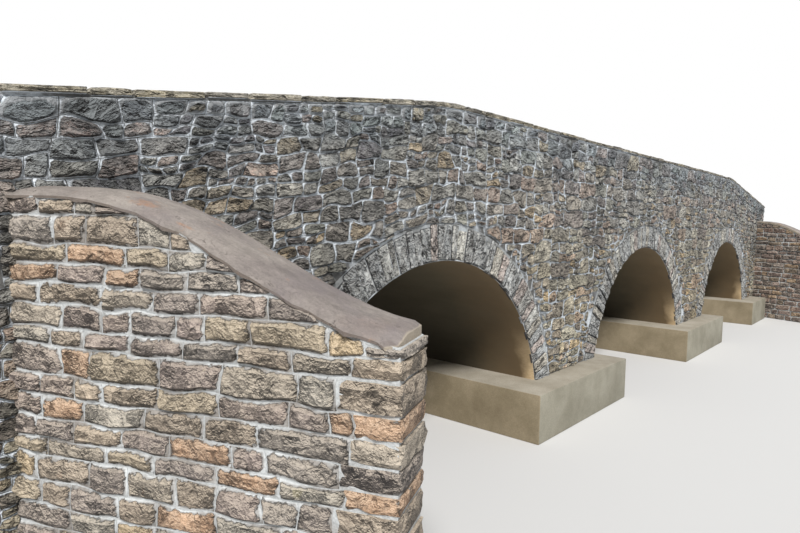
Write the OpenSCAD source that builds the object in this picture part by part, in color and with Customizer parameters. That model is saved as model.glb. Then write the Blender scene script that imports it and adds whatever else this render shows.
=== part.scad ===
// Three-span stone arch bridge: concrete barrels on pier footings, ringed with
// rough voussoirs, faced with rubble, with solid humped parapets under flagstone
// copings and four low wing walls that sweep down from the corners.
// Millimetres. X runs along the bridge, -Y is upstream, Z is up from the stream bed.

/* [Arches] */
// Radius of the underside of each arch
arch_r = 3100; // [2600:10:3600]
// Depth of the arch centre below the tops of the footings
arch_drop = 650; // [0:10:900]
// Distance between the centres of neighbouring arches
arch_pitch = 8850; // [8400:10:9600]
// Depth of the voussoir rings, from the underside outwards
ring_depth = 570; // [350:10:700]
// Thickness of the concrete barrels behind the rings
barrel_t = 450; // [250:10:500]

/* [Footings] */
// Height of the footings above the stream bed
footing_h = 900; // [600:10:1200]
// How far a footing stands out on the left side of a pier
ledge_left = 900; // [300:10:1000]
// How far a footing stands out on the right side of a pier
ledge_right = 400; // [200:10:800]
// How far a footing stands out in front of the walls
toe = 600; // [300:10:800]
// Where the toes of the abutment footings stop, from mid-bridge
toe_end = 13550; // [12500:10:13600]

/* [Walls] */
// Full length of the bridge
bridge_l = 31000; // [30000:50:32000]
// Full width over both faces
bridge_w = 7000; // [6000:50:8000]
// Thickness of the face walls and the parapets
wall_t = 450; // [350:10:600]
// Height of the coping top over the footings at mid-bridge
crest_h = 4860; // [4500:10:5200]
// Half of the level stretch at mid-bridge
hump_level = 8400; // [6000:50:9500]
// Length over which the level stretch bends into a ramp
hump_bend = 860; // [200:10:2000]
// Fall of the ramps towards the ends, in a hundred
hump_fall = 13.4; // [0:0.1:14]

/* [Coping] */
// Thickness of the flagstone coping
coping_t = 90; // [60:5:140]
// How far the coping oversails the wall on each side
coping_lip = 45; // [10:5:80]

/* [Road] */
// Height of the parapets over the road, coping included
parapet_h = 950; // [700:10:1100]
// Thickness of the road surfacing
road_t = 150; // [100:10:250]

/* [Wing walls] */
// Length of a wing wall along its river face
wing_l = 3360; // [2500:10:4000]
// Thickness of a wing wall
wing_t = 550; // [400:10:700]
// Angle in plan between a wing wall and the line square to the bridge
wing_skew = 22.5; // [0:0.5:30]
// Distance from mid-bridge to where a wing wall's bank face meets the bridge
wing_x = 14630; // [14400:10:14800]
// Height of a wing wall's cap over the footings, at the bridge
wing_high = 3290; // [3000:10:3400]
// Height over the footings at which the sweep of the cap runs out
wing_low = 2320; // [1800:10:2600]
// Thickness of the caps
cap_t = 90; // [60:5:200]
// How far the wall stands out past its cap at the free end
wing_step = 60; // [5:5:120]
// Length of the level stretch of the cap next to the bridge
sweep_start = 300; // [100:10:900]
// How far past the free end the sweep would run out
sweep_over = 140; // [0:10:600]
// How late the sweep falls, where 1 is halfway
sweep_lag = 1.2; // [1:0.05:1.5]

/* [Hidden] */

concrete = [0.78, 0.74, 0.66];
vault_grey = [0.52, 0.47, 0.40];
ring_grey = [0.60, 0.59, 0.55];
rubble = [0.42, 0.38, 0.34];
hearting = [0.47, 0.43, 0.38];
flag = [0.66, 0.62, 0.53];
tarmac = [0.33, 0.33, 0.33];
squared = [0.62, 0.52, 0.42];
cap_grey = [0.60, 0.56, 0.52];

half_l = bridge_l / 2;
half_w = bridge_w / 2;
inner_w = half_w - wall_t;
// Half of the clear span, measured on the tops of the footings
half_span = sqrt(arch_r * arch_r - arch_drop * arch_drop);
// Half of a pier on its footing, between the undersides of two arches
half_pier = arch_pitch / 2 - half_span;
// Arch centres lie below the tops of the footings
spring_z = footing_h - arch_drop;
// Where an abutment meets the underside of its arch
abutment_x = arch_pitch + half_span;
pier_x = arch_pitch / 2;
sweep_l = wing_l + sweep_over - sweep_start;
ring_r = arch_r + ring_depth;
vault_r = arch_r + barrel_t;
LEFT = -1;
RIGHT = 1;
UPSTREAM = -1;
DOWNSTREAM = 1;
far = 4 * bridge_l;
// Sides of a full circle, enough to keep an arch within half a millimetre of round
round_sides = 240;
// Flat stretches that make up each bend of the hump
bend_steps = 6;
// Flat stretches that make up the sweep of a cap
sweep_steps = 16;

// Height over the stream bed of the coping's top, at a distance x from mid-bridge
function crest(x) = footing_h + crest_h - hump_fall / 100 * lost(max(0, abs(x) - hump_level));
// Run of the ramp at a distance d past the level stretch, less what the bend takes up
function lost(d) = d < hump_bend ? d * d / (2 * hump_bend) : d - hump_bend / 2;

// Places along the bridge where the crest bends
hump_x = [for (i = [0 : bend_steps]) hump_level + hump_bend * i / bend_steps];
bends = concat([for (i = [bend_steps : -1 : 0]) -hump_x[i]], hump_x);
// Line that follows the crest from x0 to x1, at a depth below it
function crest_line(x0, x1, below) =
    [for (x = concat([x0], [for (x = bends) if (x > x0 && x < x1) x], [x1])) [x, crest(x) - below]];
function reversed(list) = [for (i = [len(list) - 1 : -1 : 0]) list[i]];
// Outline of a band along the whole bridge, between two depths below the crest
function band(top, bottom) =
    concat(crest_line(-half_l, half_l, top), reversed(crest_line(-half_l, half_l, bottom)));
// Outline of what stands on the level z0 and reaches up to a depth below the crest
function under_crest(x0, x1, z0, top) = concat([[x0, z0]], crest_line(x0, x1, top), [[x1, z0]]);

// Stands a drawing of the bridge's side between two places across its width
module across(y0, y1) {
    translate([0, y1, 0]) rotate([90, 0, 0]) linear_extrude(height = y1 - y0) children();
}

// Stands a drawing of the side as a face wall on the side given
module face(side) {
    across(side < 0 ? -half_w : inner_w, side < 0 ? -inner_w : half_w) children();
}

module disc(x, r) {
    translate([x, spring_z]) circle(r = r, $fn = round_sides);
}

// The arch at x out to the radius given, cut level on the footings
module arch(x, outer_r) {
    difference() {
        disc(x, outer_r);
        disc(x, arch_r);
        translate([x - far / 2, footing_h - far]) square([far, far]);
    }
}

// Slab footing under a pier or an abutment, with its toes in front of both walls
module footing(x0, x1, toe_x0, toe_x1) {
    color(concrete) union() {
        translate([x0, -half_w, 0]) cube([x1 - x0, bridge_w, footing_h]);
        translate([toe_x0, -half_w - toe, 0]) cube([toe_x1 - toe_x0, bridge_w + 2 * toe, footing_h]);
    }
}

module pier_footing(x) {
    x0 = x - half_pier - ledge_left;
    x1 = x + half_pier + ledge_right;
    footing(x0, x1, x0, x1);
}

module abutment_footing(side) {
    inner = abutment_x - (side < 0 ? ledge_right : ledge_left);
    if (side < 0) footing(-half_l, -inner, -toe_end, -inner);
    else footing(inner, half_l, inner, toe_end);
}

// Concrete barrel of the arch at x, cast between the two voussoir rings
module barrel(x) {
    color(vault_grey) across(-inner_w, inner_w) arch(x, vault_r);
}

module ring(x, side) {
    color(ring_grey) face(side) arch(x, ring_r);
}

// Core of a pier, from its footing up to the road, hollowed by the barrels on both sides
module pier_core(x) {
    color(hearting) across(-inner_w, inner_w) difference() {
        polygon(under_crest(x - arch_pitch / 2, x + arch_pitch / 2, footing_h, parapet_h + road_t));
        for (side = [LEFT, RIGHT]) disc(x + side * arch_pitch / 2, vault_r);
    }
}

// Core of an abutment, from its footing up to the road, with its end wall
module abutment(side) {
    color(hearting) across(-inner_w, inner_w) mirror([side < 0 ? 1 : 0, 0]) difference() {
        polygon(under_crest(arch_pitch, half_l, footing_h, parapet_h + road_t));
        disc(arch_pitch, vault_r);
    }
}

// Face wall over a pier, from crown to crown and down to its footing
module pier_wall(x, side) {
    color(rubble) face(side) difference() {
        polygon(under_crest(x - arch_pitch / 2, x + arch_pitch / 2, footing_h, parapet_h));
        for (k = [LEFT, RIGHT]) disc(x + k * arch_pitch / 2, ring_r);
    }
}

// Face wall from the crown of an outer arch to the end of the bridge
module end_wall(end, side) {
    color(rubble) face(side) mirror([end < 0 ? 1 : 0, 0]) difference() {
        polygon(under_crest(arch_pitch, half_l, footing_h, parapet_h));
        disc(arch_pitch, ring_r);
    }
}

module parapet(side) {
    color(rubble) face(side) polygon(band(coping_t, parapet_h));
}

module coping(side) {
    y = side * (half_w - wall_t / 2);
    reach = wall_t / 2 + coping_lip;
    color(flag) across(y - reach, y + reach) polygon(band(0, coping_t));
}

// Road surface between the parapets, following the hump
module road() {
    color(tarmac) across(-inner_w, inner_w) polygon(band(parapet_h, parapet_h + road_t));
}

// Places a piece drawn for the right upstream corner at any of the four corners
module corner(end, side) {
    mirror([end < 0 ? 1 : 0, 0, 0]) mirror([0, side < 0 ? 0 : 1, 0])
        translate([wing_x, -half_w, 0]) rotate([0, 0, -90 - wing_skew]) children();
}

// Height of a wing wall's top at a distance s from the bridge: level, then a falling half wave
function sweep(s) = footing_h + wing_high - (wing_high - wing_low) / 2
    * (1 - cos(180 * pow(max(0, s - sweep_start) / sweep_l, sweep_lag)));
// Places along a wing wall where its cap bends, from inside the bridge to the cap's end
sweep_s = concat([-wing_t], [for (i = [0 : sweep_steps])
    sweep_start + (wing_l - wing_step - sweep_start) * i / sweep_steps]);
// Line that follows the sweep through the places given, at a depth below it
function sweep_line(places, below) = [for (s = places) [s, sweep(s) - below]];

// A wing wall's outline given its full thickness, in a corner's own axes, cut at the bridge
module wing_slab() {
    difference() {
        rotate([90, 0, 0]) linear_extrude(height = wing_t) children();
        rotate([0, 0, 90 + wing_skew]) translate([-far / 2, 0, -far / 2]) cube([far, far, far]);
    }
}

module wing(end, side) {
    top = sweep_line(concat(sweep_s, [wing_l]), cap_t);
    color(squared) corner(end, side) wing_slab()
        polygon(concat([[-wing_t, 0]], top, [[wing_l, 0]]));
}

module wing_cap(end, side) {
    color(cap_grey) corner(end, side) wing_slab()
        polygon(concat(sweep_line(sweep_s, 0), reversed(sweep_line(sweep_s, cap_t))));
}

abutment_footing(LEFT);  // left_abutment_footing
pier_footing(-pier_x);  // left_pier_footing
pier_footing(pier_x);  // right_pier_footing
abutment_footing(RIGHT);  // right_abutment_footing
abutment(LEFT);  // left_abutment
pier_core(-pier_x);  // left_pier
pier_core(pier_x);  // right_pier
abutment(RIGHT);  // right_abutment
barrel(-arch_pitch);  // left_barrel
barrel(0);  // middle_barrel
barrel(arch_pitch);  // right_barrel
ring(-arch_pitch, UPSTREAM);  // left_ring_upstream
ring(0, UPSTREAM);  // middle_ring_upstream
ring(arch_pitch, UPSTREAM);  // right_ring_upstream
ring(-arch_pitch, DOWNSTREAM);  // left_ring_downstream
ring(0, DOWNSTREAM);  // middle_ring_downstream
ring(arch_pitch, DOWNSTREAM);  // right_ring_downstream
end_wall(LEFT, UPSTREAM);  // left_end_wall_upstream
pier_wall(-pier_x, UPSTREAM);  // left_pier_wall_upstream
pier_wall(pier_x, UPSTREAM);  // right_pier_wall_upstream
end_wall(RIGHT, UPSTREAM);  // right_end_wall_upstream
end_wall(LEFT, DOWNSTREAM);  // left_end_wall_downstream
pier_wall(-pier_x, DOWNSTREAM);  // left_pier_wall_downstream
pier_wall(pier_x, DOWNSTREAM);  // right_pier_wall_downstream
end_wall(RIGHT, DOWNSTREAM);  // right_end_wall_downstream
parapet(UPSTREAM);  // parapet_upstream
parapet(DOWNSTREAM);  // parapet_downstream
coping(UPSTREAM);  // coping_upstream
coping(DOWNSTREAM);  // coping_downstream
road();
wing(LEFT, UPSTREAM);  // left_wing_upstream
wing(RIGHT, UPSTREAM);  // right_wing_upstream
wing(LEFT, DOWNSTREAM);  // left_wing_downstream
wing(RIGHT, DOWNSTREAM);  // right_wing_downstream
wing_cap(LEFT, UPSTREAM);  // left_wing_cap_upstream
wing_cap(RIGHT, UPSTREAM);  // right_wing_cap_upstream
wing_cap(LEFT, DOWNSTREAM);  // left_wing_cap_downstream
wing_cap(RIGHT, DOWNSTREAM);  // right_wing_cap_downstream
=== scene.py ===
# %% [markdown]
# # A stone arch bridge, laid stone by stone
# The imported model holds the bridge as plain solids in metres: footings, barrels, rings, walls,
# parapets, copings, road and wing walls. This lesson keeps every solid where it is and gives the
# ones that show masonry a piece of their own, with a bed of mortar and the stones laid in it.
# Sizes are read off the frame, so a change in the solids moves the stones with them.

# %% Load the frame
import math
import random

import bpy
import numpy as np
from mathutils import Euler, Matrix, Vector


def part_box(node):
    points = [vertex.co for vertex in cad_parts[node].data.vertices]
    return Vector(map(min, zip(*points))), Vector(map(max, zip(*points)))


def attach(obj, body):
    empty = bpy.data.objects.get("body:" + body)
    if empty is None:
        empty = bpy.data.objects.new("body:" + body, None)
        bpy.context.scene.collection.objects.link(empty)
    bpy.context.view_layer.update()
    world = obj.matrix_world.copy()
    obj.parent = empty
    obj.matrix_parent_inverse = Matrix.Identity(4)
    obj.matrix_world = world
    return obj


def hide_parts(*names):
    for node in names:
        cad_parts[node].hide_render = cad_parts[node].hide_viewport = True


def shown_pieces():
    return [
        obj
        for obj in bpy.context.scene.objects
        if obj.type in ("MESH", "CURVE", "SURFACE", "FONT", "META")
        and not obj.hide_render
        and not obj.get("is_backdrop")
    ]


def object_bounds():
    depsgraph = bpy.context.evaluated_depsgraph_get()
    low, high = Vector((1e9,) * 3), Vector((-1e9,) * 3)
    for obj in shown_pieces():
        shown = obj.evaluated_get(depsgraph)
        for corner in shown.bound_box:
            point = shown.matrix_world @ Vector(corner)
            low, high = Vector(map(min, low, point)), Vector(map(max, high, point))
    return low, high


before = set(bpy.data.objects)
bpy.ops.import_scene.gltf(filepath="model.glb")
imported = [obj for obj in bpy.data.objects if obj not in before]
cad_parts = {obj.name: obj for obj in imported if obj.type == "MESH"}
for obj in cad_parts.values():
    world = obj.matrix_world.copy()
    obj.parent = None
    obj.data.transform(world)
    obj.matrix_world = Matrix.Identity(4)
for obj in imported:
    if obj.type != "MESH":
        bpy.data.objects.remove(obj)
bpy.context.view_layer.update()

# %% [markdown]
# ## Reading the frame
# A solid's points say more than its box. The tops of the coping's points are the hump of the
# bridge, and the points of a ring lie on two circles. An arch cut level above its centre is a
# circular segment, so its half chord c and rise h give the radius (c² + h²) / 2h.

# %% Measure the solids
SAME_PLACE = 2e-3


def points_of(obj):
    """The points of an object's mesh, one row each."""
    flat = np.empty(len(obj.data.vertices) * 3, np.float32)
    obj.data.vertices.foreach_get("co", flat)
    return flat.reshape(-1, 3).astype(float)


def node_points(node):
    """The points of a solid of the frame."""
    return points_of(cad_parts[node])


def skyline(places, heights):
    """Where a solid has points along its length, and its height at each such place."""
    stops = np.unique(np.round(places, 3))
    tops = [heights[np.abs(places - stop) < SAME_PLACE].max() for stop in stops]
    return stops, np.array(tops)


def profile(node):
    """A function for the height of a solid's top anywhere along the bridge."""
    points = node_points(node)
    stops, tops = skyline(points[:, 0], points[:, 2])
    return lambda x: np.interp(x, stops, tops)


SIDES = {"upstream": -1, "downstream": 1}
ENDS = {"left": -1, "right": 1}

half_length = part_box("road")[1].x
half_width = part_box("left_pier_wall_downstream")[1].y
inner_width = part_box("road")[1].y
wall_thick = half_width - inner_width
footing_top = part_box("left_pier_footing")[1].z
crest = profile("coping_upstream")
wall_top = profile("parapet_upstream")
road_level = profile("road")
coping_reach = (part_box("coping_downstream")[1].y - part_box("coping_downstream")[0].y) / 2
coping_depth = crest(0.0) - wall_top(0.0)

ring_low, ring_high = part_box("middle_ring_upstream")
ring_chord = (ring_high.x - ring_low.x) / 2
ring_rise = ring_high.z - ring_low.z
ring_outer = (ring_chord ** 2 + ring_rise ** 2) / (2 * ring_rise)
spring_z = ring_high.z - ring_outer
ring_points = node_points("middle_ring_upstream")
ring_inner = np.hypot(ring_points[:, 0], ring_points[:, 2] - spring_z).min()
barrel_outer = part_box("middle_barrel")[1].z - spring_z
arch_pitch = (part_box("right_barrel")[0].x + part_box("right_barrel")[1].x) / 2
ARCHES = {"left": -arch_pitch, "middle": 0.0, "right": arch_pitch}
print(f"arches of {ring_inner:.3f} m radius every {arch_pitch:.3f} m, rings {ring_outer:.3f} m")
print(f"coping {coping_depth:.3f} m thick, parapet {crest(0.0) - road_level(0.0):.3f} m high")

# %% [markdown]
# ## Working by operators
# Edit-mode operators act on what is selected, so each step first deselects everything and then
# picks points in code. A few small helpers do that: one makes an object the active one, another
# enters edit mode with all of it selected, and another picks some of its points by a row of yes
# and no. The rest copy a solid as a start for modelling, take the points and faces out of a
# finished shape, and keep a value with each point for the materials.

# %% Modelling helpers
SAME_POINT = 1e-4
FLAT_WITHIN = math.radians(0.3)
FIELDS = {"FLOAT": "value", "FLOAT_VECTOR": "vector", "FLOAT_COLOR": "color"}
bpy.context.scene.tool_settings.mesh_select_mode = (True, False, False)


def deselect():
    """Leave edit mode and drop every selection."""
    if bpy.context.object and bpy.context.object.mode != "OBJECT":
        bpy.ops.object.mode_set(mode="OBJECT")
    bpy.ops.object.select_all(action="DESELECT")


def activate(obj):
    deselect()
    obj.select_set(True)
    bpy.context.view_layer.objects.active = obj


def edit_whole(obj):
    """Enter edit mode with all of an object selected."""
    activate(obj)
    bpy.ops.object.mode_set(mode="EDIT")
    bpy.ops.mesh.select_all(action="SELECT")


def pick(obj, chosen):
    """Enter edit mode with only the chosen points of obj selected."""
    bpy.ops.object.mode_set(mode="EDIT")
    bpy.ops.mesh.select_all(action="DESELECT")
    bpy.ops.object.mode_set(mode="OBJECT")
    obj.data.vertices.foreach_set("select", np.asarray(chosen, bool))
    bpy.ops.object.mode_set(mode="EDIT")


def finish_mesh():
    """Turn every face outwards and leave edit mode."""
    bpy.ops.mesh.select_all(action="SELECT")
    bpy.ops.mesh.normals_make_consistent(inside=False)
    bpy.ops.object.mode_set(mode="OBJECT")


def new_piece(name, mesh):
    """A new object in the scene, with a mesh of its own."""
    piece = bpy.data.objects.new(name, mesh)
    bpy.context.scene.collection.objects.link(piece)
    return piece


def clean_copy(node, name):
    """A copy of a solid in edit mode, with its triangles merged into clean faces."""
    copy = new_piece(name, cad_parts[node].data.copy())
    edit_whole(copy)
    bpy.ops.mesh.remove_doubles(threshold=SAME_POINT)
    bpy.ops.mesh.dissolve_limited(angle_limit=FLAT_WITHIN)
    return copy


def take(obj):
    """The points and faces of an object, which is then removed."""
    made = points_of(obj), [tuple(face.vertices) for face in obj.data.polygons]
    bpy.data.objects.remove(obj)
    return made


def keep(mesh, name, kind, values):
    """Keep a value with each point of a mesh, as an attribute that materials can read."""
    layer = mesh.attributes.new(name, kind, "POINT")
    layer.data.foreach_set(FIELDS[kind], values.ravel())


# %% [markdown]
# ## Pattern stones
# A rubble stone shows one rough, split face, and the rest of it is buried in mortar. Each pattern
# is a small grid pulled back into a block. The edge of its face is rounded, and the points inside
# it are pushed forward by uneven amounts. For that the face is spread wide first, so that the
# shaking moves the points forward and hardly sideways. Then all points are shaken a little, as a
# mason's hammer leaves them. A few dozen faces each are enough, because a wall holds many hundreds
# of them. Patterns are one unit wide and high, so that a copy can be fitted to any bed.

# %% Facing stones
EDGE_RIM = 0.4
OUTLINE = 0.49
TOUCH = 0.01
WIDE = 100
LEAST_ROUND = 0.3


class Pattern:
    """A modelled stone: its points, its faces, and how close each point is to the mortar."""

    def __init__(self, obj, rim, inner=(0.5, 0.5)):
        self.points, self.faces = take(obj)
        self.rim = rim.astype(float)
        self.inner = inner


def facing_stone(seed, columns=6, rows=5, rounded=0.8, swell=0.55, shake=0.035):
    """One stone of a wall's face, which looks towards -Y, with its tail towards +Y."""
    deselect()
    bpy.ops.mesh.primitive_grid_add(
        x_subdivisions=columns, y_subdivisions=rows, size=1, location=(0, 1, 0),
        rotation=(math.radians(90), 0, 0))
    stone = bpy.context.object
    bpy.ops.object.transform_apply(location=True, rotation=True, scale=True)
    edit_whole(stone)
    bpy.ops.mesh.extrude_region_move(TRANSFORM_OT_translate={"value": (0, -1, 0)})
    bpy.ops.object.mode_set(mode="OBJECT")
    pick(stone, points_of(stone)[:, 1] > 0.5)
    bpy.ops.mesh.dissolve_faces()
    finish_mesh()

    place = points_of(stone)
    side, level = np.abs(place[:, 0]), np.abs(place[:, 2])
    inner = (0.5 - 1 / columns, 0.5 - 1 / rows)
    face = (place[:, 1] < 0.5) & (np.maximum(side, level) < OUTLINE)
    edge = (side > inner[0] - TOUCH) | (level > inner[1] - TOUCH)
    pick(stone, face)
    bpy.ops.transform.translate(value=(0, -1, 0))
    pick(stone, face & edge)
    bpy.ops.transform.tosphere(
        value=rounded * random.Random(seed).uniform(LEAST_ROUND, 1.0),
        center_override=(0, -1, 0))
    pick(stone, face)
    bpy.ops.transform.resize(value=(WIDE, 1, WIDE), center_override=(0, 0, 0))
    bpy.ops.transform.vertex_random(offset=swell, normal=0.0, seed=seed)
    bpy.ops.transform.resize(value=(1 / WIDE, 1, 1 / WIDE), center_override=(0, 0, 0))
    bpy.ops.mesh.select_all(action="SELECT")
    bpy.ops.transform.vertex_random(offset=shake, normal=0.0, seed=seed + 1)
    finish_mesh()
    return Pattern(stone, np.where(face, np.where(edge, EDGE_RIM, 0.0), 1.0), inner)


rubble_patterns = [facing_stone(seed) for seed in range(10, 26)]
squared_patterns = [
    facing_stone(seed, rounded=0.35, swell=0.4, shake=0.03) for seed in range(30, 38)]
edge_patterns = [
    facing_stone(seed, columns=3, rows=8, rounded=0.0, swell=0.55, shake=0.03)
    for seed in range(50, 60)]
print(len(rubble_patterns[0].faces), "faces on a rubble stone,",
      len(edge_patterns[0].faces), "on a voussoir")

# %% [markdown]
# Corner stones and flagstones show several sides, so they start from a cube. It is subdivided,
# its edges are drawn in by smoothing, and its points are shaken. A flag is shaken while it is
# spread wide, because its outline is cleaner than its broken edge. At the end the block is brought
# back to exactly one unit each way, so that a fitted copy never leaves its bed. A corner stone
# meets mortar along its edges, and a flagstone along its underside.

# %% Blocks
BLOCK_RIM = 0.62
BLOCK_EDGE = 0.42
UNDERSIDE = -0.35


def block_stone(seed, cuts=3, soften=0.35, shake=0.05, spread=1.0, flag=False):
    """One stone that shows on several sides, a unit each way round the origin."""
    deselect()
    bpy.ops.mesh.primitive_cube_add(size=1)
    stone = bpy.context.object
    edit_whole(stone)
    bpy.ops.mesh.subdivide(number_cuts=cuts)
    bpy.ops.mesh.vertices_smooth(factor=soften)
    bpy.ops.transform.resize(value=(spread, spread, 1))
    bpy.ops.transform.vertex_random(offset=shake, normal=0.0, seed=seed)
    finish_mesh()
    shaken = points_of(stone)
    low, high = shaken.min(0), shaken.max(0)
    fitted = (shaken - low) / (high - low) - 0.5
    stone.data.vertices.foreach_set("co", fitted.ravel())
    if flag:
        return Pattern(stone, fitted[:, 2] < UNDERSIDE)
    return Pattern(stone, BLOCK_RIM * ((np.abs(fitted) > BLOCK_EDGE).sum(1) > 1))


block_patterns = [block_stone(seed) for seed in range(70, 76)]
flag_patterns = [
    block_stone(seed, cuts=4, soften=0.3, shake=0.09, spread=4.0, flag=True)
    for seed in range(80, 92)]
print(len(block_patterns[0].faces), "faces on a block,", len(flag_patterns[0].faces), "on a flag")

# %% [markdown]
# ## Beds
# Random rubble is laid in rough courses: the mason fills a strip under a metre high with
# large and small stones, then starts the next. Here a cell of such a strip is cut in two again
# and again, across or upright, with leaning cuts, until each part has the size of a stone. Some
# cells hold larger stones than others. Joints between neighbours stay shared, so no stone runs
# into the next.

# %% Cut a cell into beds
CUT_SHARE = (0.36, 0.64)
LEVEL_LEAN = 0.09
UPRIGHT_LEAN = 0.035
NARROWEST = 0.2
LONGEST_FOR_HEIGHT = 2.7
TOO_LOW_TO_HALVE = 3.2
ALMOST_TALL, CUT_IF_TALL = 0.72, 0.25
ALMOST_WIDE, CUT_IF_WIDE = 0.6, 0.3


def between(start, end, share):
    return (start[0] + (end[0] - start[0]) * share, start[1] + (end[1] - start[1]) * share)


def split(cell, dice, tallest, widest):
    """Cut a four-cornered cell into beds for single stones."""
    low_left, low_right, high_right, high_left = cell
    width = (low_right[0] + high_right[0] - low_left[0] - high_left[0]) / 2
    height = (high_left[1] + high_right[1] - low_left[1] - low_right[1]) / 2
    too_tall = height > tallest or (
        height > ALMOST_TALL * tallest and dice.random() < CUT_IF_TALL)
    too_wide = width > widest or width > LONGEST_FOR_HEIGHT * height or (
        width > ALMOST_WIDE * widest and dice.random() < CUT_IF_WIDE)
    long_and_low = width >= TOO_LOW_TO_HALVE * height
    if too_tall and not long_and_low:
        share = dice.uniform(*CUT_SHARE)
        lean = dice.uniform(-LEVEL_LEAN, LEVEL_LEAN)
        left = between(low_left, high_left, share - lean)
        right = between(low_right, high_right, share + lean)
        parts = [(low_left, low_right, right, left), (left, right, high_right, high_left)]
    elif too_wide and width > NARROWEST:
        share = dice.uniform(*CUT_SHARE)
        lean = dice.uniform(-UPRIGHT_LEAN, UPRIGHT_LEAN) / max(width, NARROWEST)
        low = between(low_left, low_right, share - lean)
        high = between(high_left, high_right, share + lean)
        parts = [(low_left, low, high, high_left), (low, low_right, high_right, high)]
    else:
        return [cell]
    return [bed for part in parts for bed in split(part, dice, tallest, widest)]


square = ((0, 0), (1, 0), (1, 1), (0, 1))
print("a square metre makes", len(split(square, random.Random(2), 0.3, 0.6)), "beds")

# %% Divide a wall into beds
STRIP_HEIGHT = (0.5, 1.0)
CELL_LENGTH = (0.9, 2.1)
STONE_SIZE = (0.75, 1.45)
TALLEST = 0.27
WIDEST = 0.66
SCRAP = 0.6
ROOM_FOR_ONE = 1.3
ALMOST_NONE = 1e-6


def rubble_beds(length, height, dice, growth=lambda place: 1.0):
    """Beds of random rubble that fill a wall, in metres along it and up it."""
    beds = []
    level = 0.0
    while level < height - ALMOST_NONE:
        rise = dice.uniform(*STRIP_HEIGHT)
        rest = height - level
        if rest - rise < SCRAP * STRIP_HEIGHT[0]:
            rise = rest if rest < ROOM_FOR_ONE * STRIP_HEIGHT[1] else rest / 2
        start = 0.0
        while start < length - ALMOST_NONE:
            run = dice.uniform(*CELL_LENGTH)
            if length - start - run < SCRAP * CELL_LENGTH[0]:
                run = length - start
            corners = ((start, level), (start + run, level),
                       (start + run, level + rise), (start, level + rise))
            size = dice.uniform(*STONE_SIZE) * growth(start + run / 2)
            beds += split(corners, dice, TALLEST * size, WIDEST * size)
            start += run
        level += rise
    return beds


print("a wall of 10 m by 3 m takes", len(rubble_beds(10.0, 3.0, random.Random(1))), "stones")

# %% [markdown]
# ## Laying
# To lay a stone, the pattern is stretched over its bed. Its rim lies in the joint, and the slope
# from there up to the face keeps a width of a few centimetres, however large the stone is. The
# flat shape is then fitted to the wall, which bends it with the hump and keeps it off the arches,
# and at last it is stood up in the wall with its face standing out of the mortar. Each stone also
# gets the direction of its grain, because rubble isn't always laid on its natural bed.

# %% Lay stones in beds
JOINT = 0.003
TAIL = 0.05
SLOPE = (0.020, 0.048)
MOST_SLOPE = 0.3
RELIEF = (0.014, 0.048)
SET_BACK = -0.009
TILT = 0.7
BURIED = 0.6
BEDDING = 0.3
INWARDS = np.array([(1, 1), (-1, 1), (-1, -1), (1, -1)])


class Wall:
    """The stones of one piece, gathered as they are laid."""

    def __init__(self):
        self.points, self.faces, self.rims, self.tones, self.grains = [], [], [], [], []
        self.mortar_from = 0
        self.count = 0

    def add(self, points, faces, rim, tone, grain=None):
        self.faces.extend(tuple(i + self.count for i in face) for face in faces)
        self.points.append(points)
        self.grains.append(points if grain is None else grain)
        self.rims.append(rim)
        self.tones.append(np.repeat([tone], len(points), axis=0))
        self.count += len(points)

    def add_mortar(self, points, faces):
        """Add the bed that the stones lie in. It comes last."""
        self.mortar_from = len(self.faces)
        self.add(points, faces, np.ones(len(points)), (0.5, 0.5, 0.5, 0.5))


walls = {}


def wall_of(node):
    return walls.setdefault(node, Wall())


def tone_of(dice):
    """Four chances that colour one stone: its kind, its shade, and where its grain starts."""
    return tuple(dice.random() for _ in range(4))


def stretched(pattern, axis, turn, size, slope):
    """A coordinate of a pattern's points, with a slope of a width in metres round the face."""
    share = turn * pattern.points[:, axis]
    edge = min(slope / size, MOST_SLOPE)
    inner = pattern.inner[axis // 2]
    return np.sign(share) * np.interp(np.abs(share), (0, inner, 0.5), (0, 0.5 - edge, 0.5))


def lay(beds, patterns, dice, fit, stand, choose_wall, joint=JOINT, proud=SET_BACK, relief=RELIEF,
        slope=SLOPE):
    """Lay one copy of a pattern in each bed, and give it to the wall that it belongs to."""
    for bed in np.array(beds):
        pattern = dice.choice(patterns)
        turn = dice.choice((-1, 1))
        tone = tone_of(dice)
        depth = dice.uniform(*relief)
        edge = dice.uniform(*slope)
        tilt = (dice.uniform(-TILT, TILT), dice.uniform(-TILT, TILT))
        bedding = dice.gauss(0, BEDDING)
        width, height = np.ptp(bed, axis=0)
        across = stretched(pattern, 0, turn, width, edge)
        up = stretched(pattern, 2, turn, height, edge)
        weights = np.stack([(0.5 - x * across) * (0.5 - y * up) for x, y in INWARDS], axis=1)
        flat = fit(weights @ (bed + INWARDS * joint))
        if flat is None:
            continue
        back = pattern.points[:, 1]
        lifted = -depth * back * (1 + tilt[0] * across + tilt[1] * up)
        turned = np.array([(math.cos(bedding), -math.sin(bedding)),
                           (math.sin(bedding), math.cos(bedding))])
        grain = np.insert(flat @ turned, 1, lifted, axis=1)
        points = stand(flat, np.where(back < BURIED, lifted, -TAIL) + proud)
        choose_wall(flat.mean(0)).add(points, pattern.faces, pattern.rim, tone, grain)


print(f"joints {2 * JOINT:.3f} m wide, stones {RELIEF[0] + SET_BACK:.3f} to",
      f"{RELIEF[1] + SET_BACK:.3f} m proud of the wall")

# %% [markdown]
# The warp shifts beds by a few centimetres along smooth waves, so that courses wander as laid by
# eye. It fades out at the top and bottom, where stones meet the coping and the footings.

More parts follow.
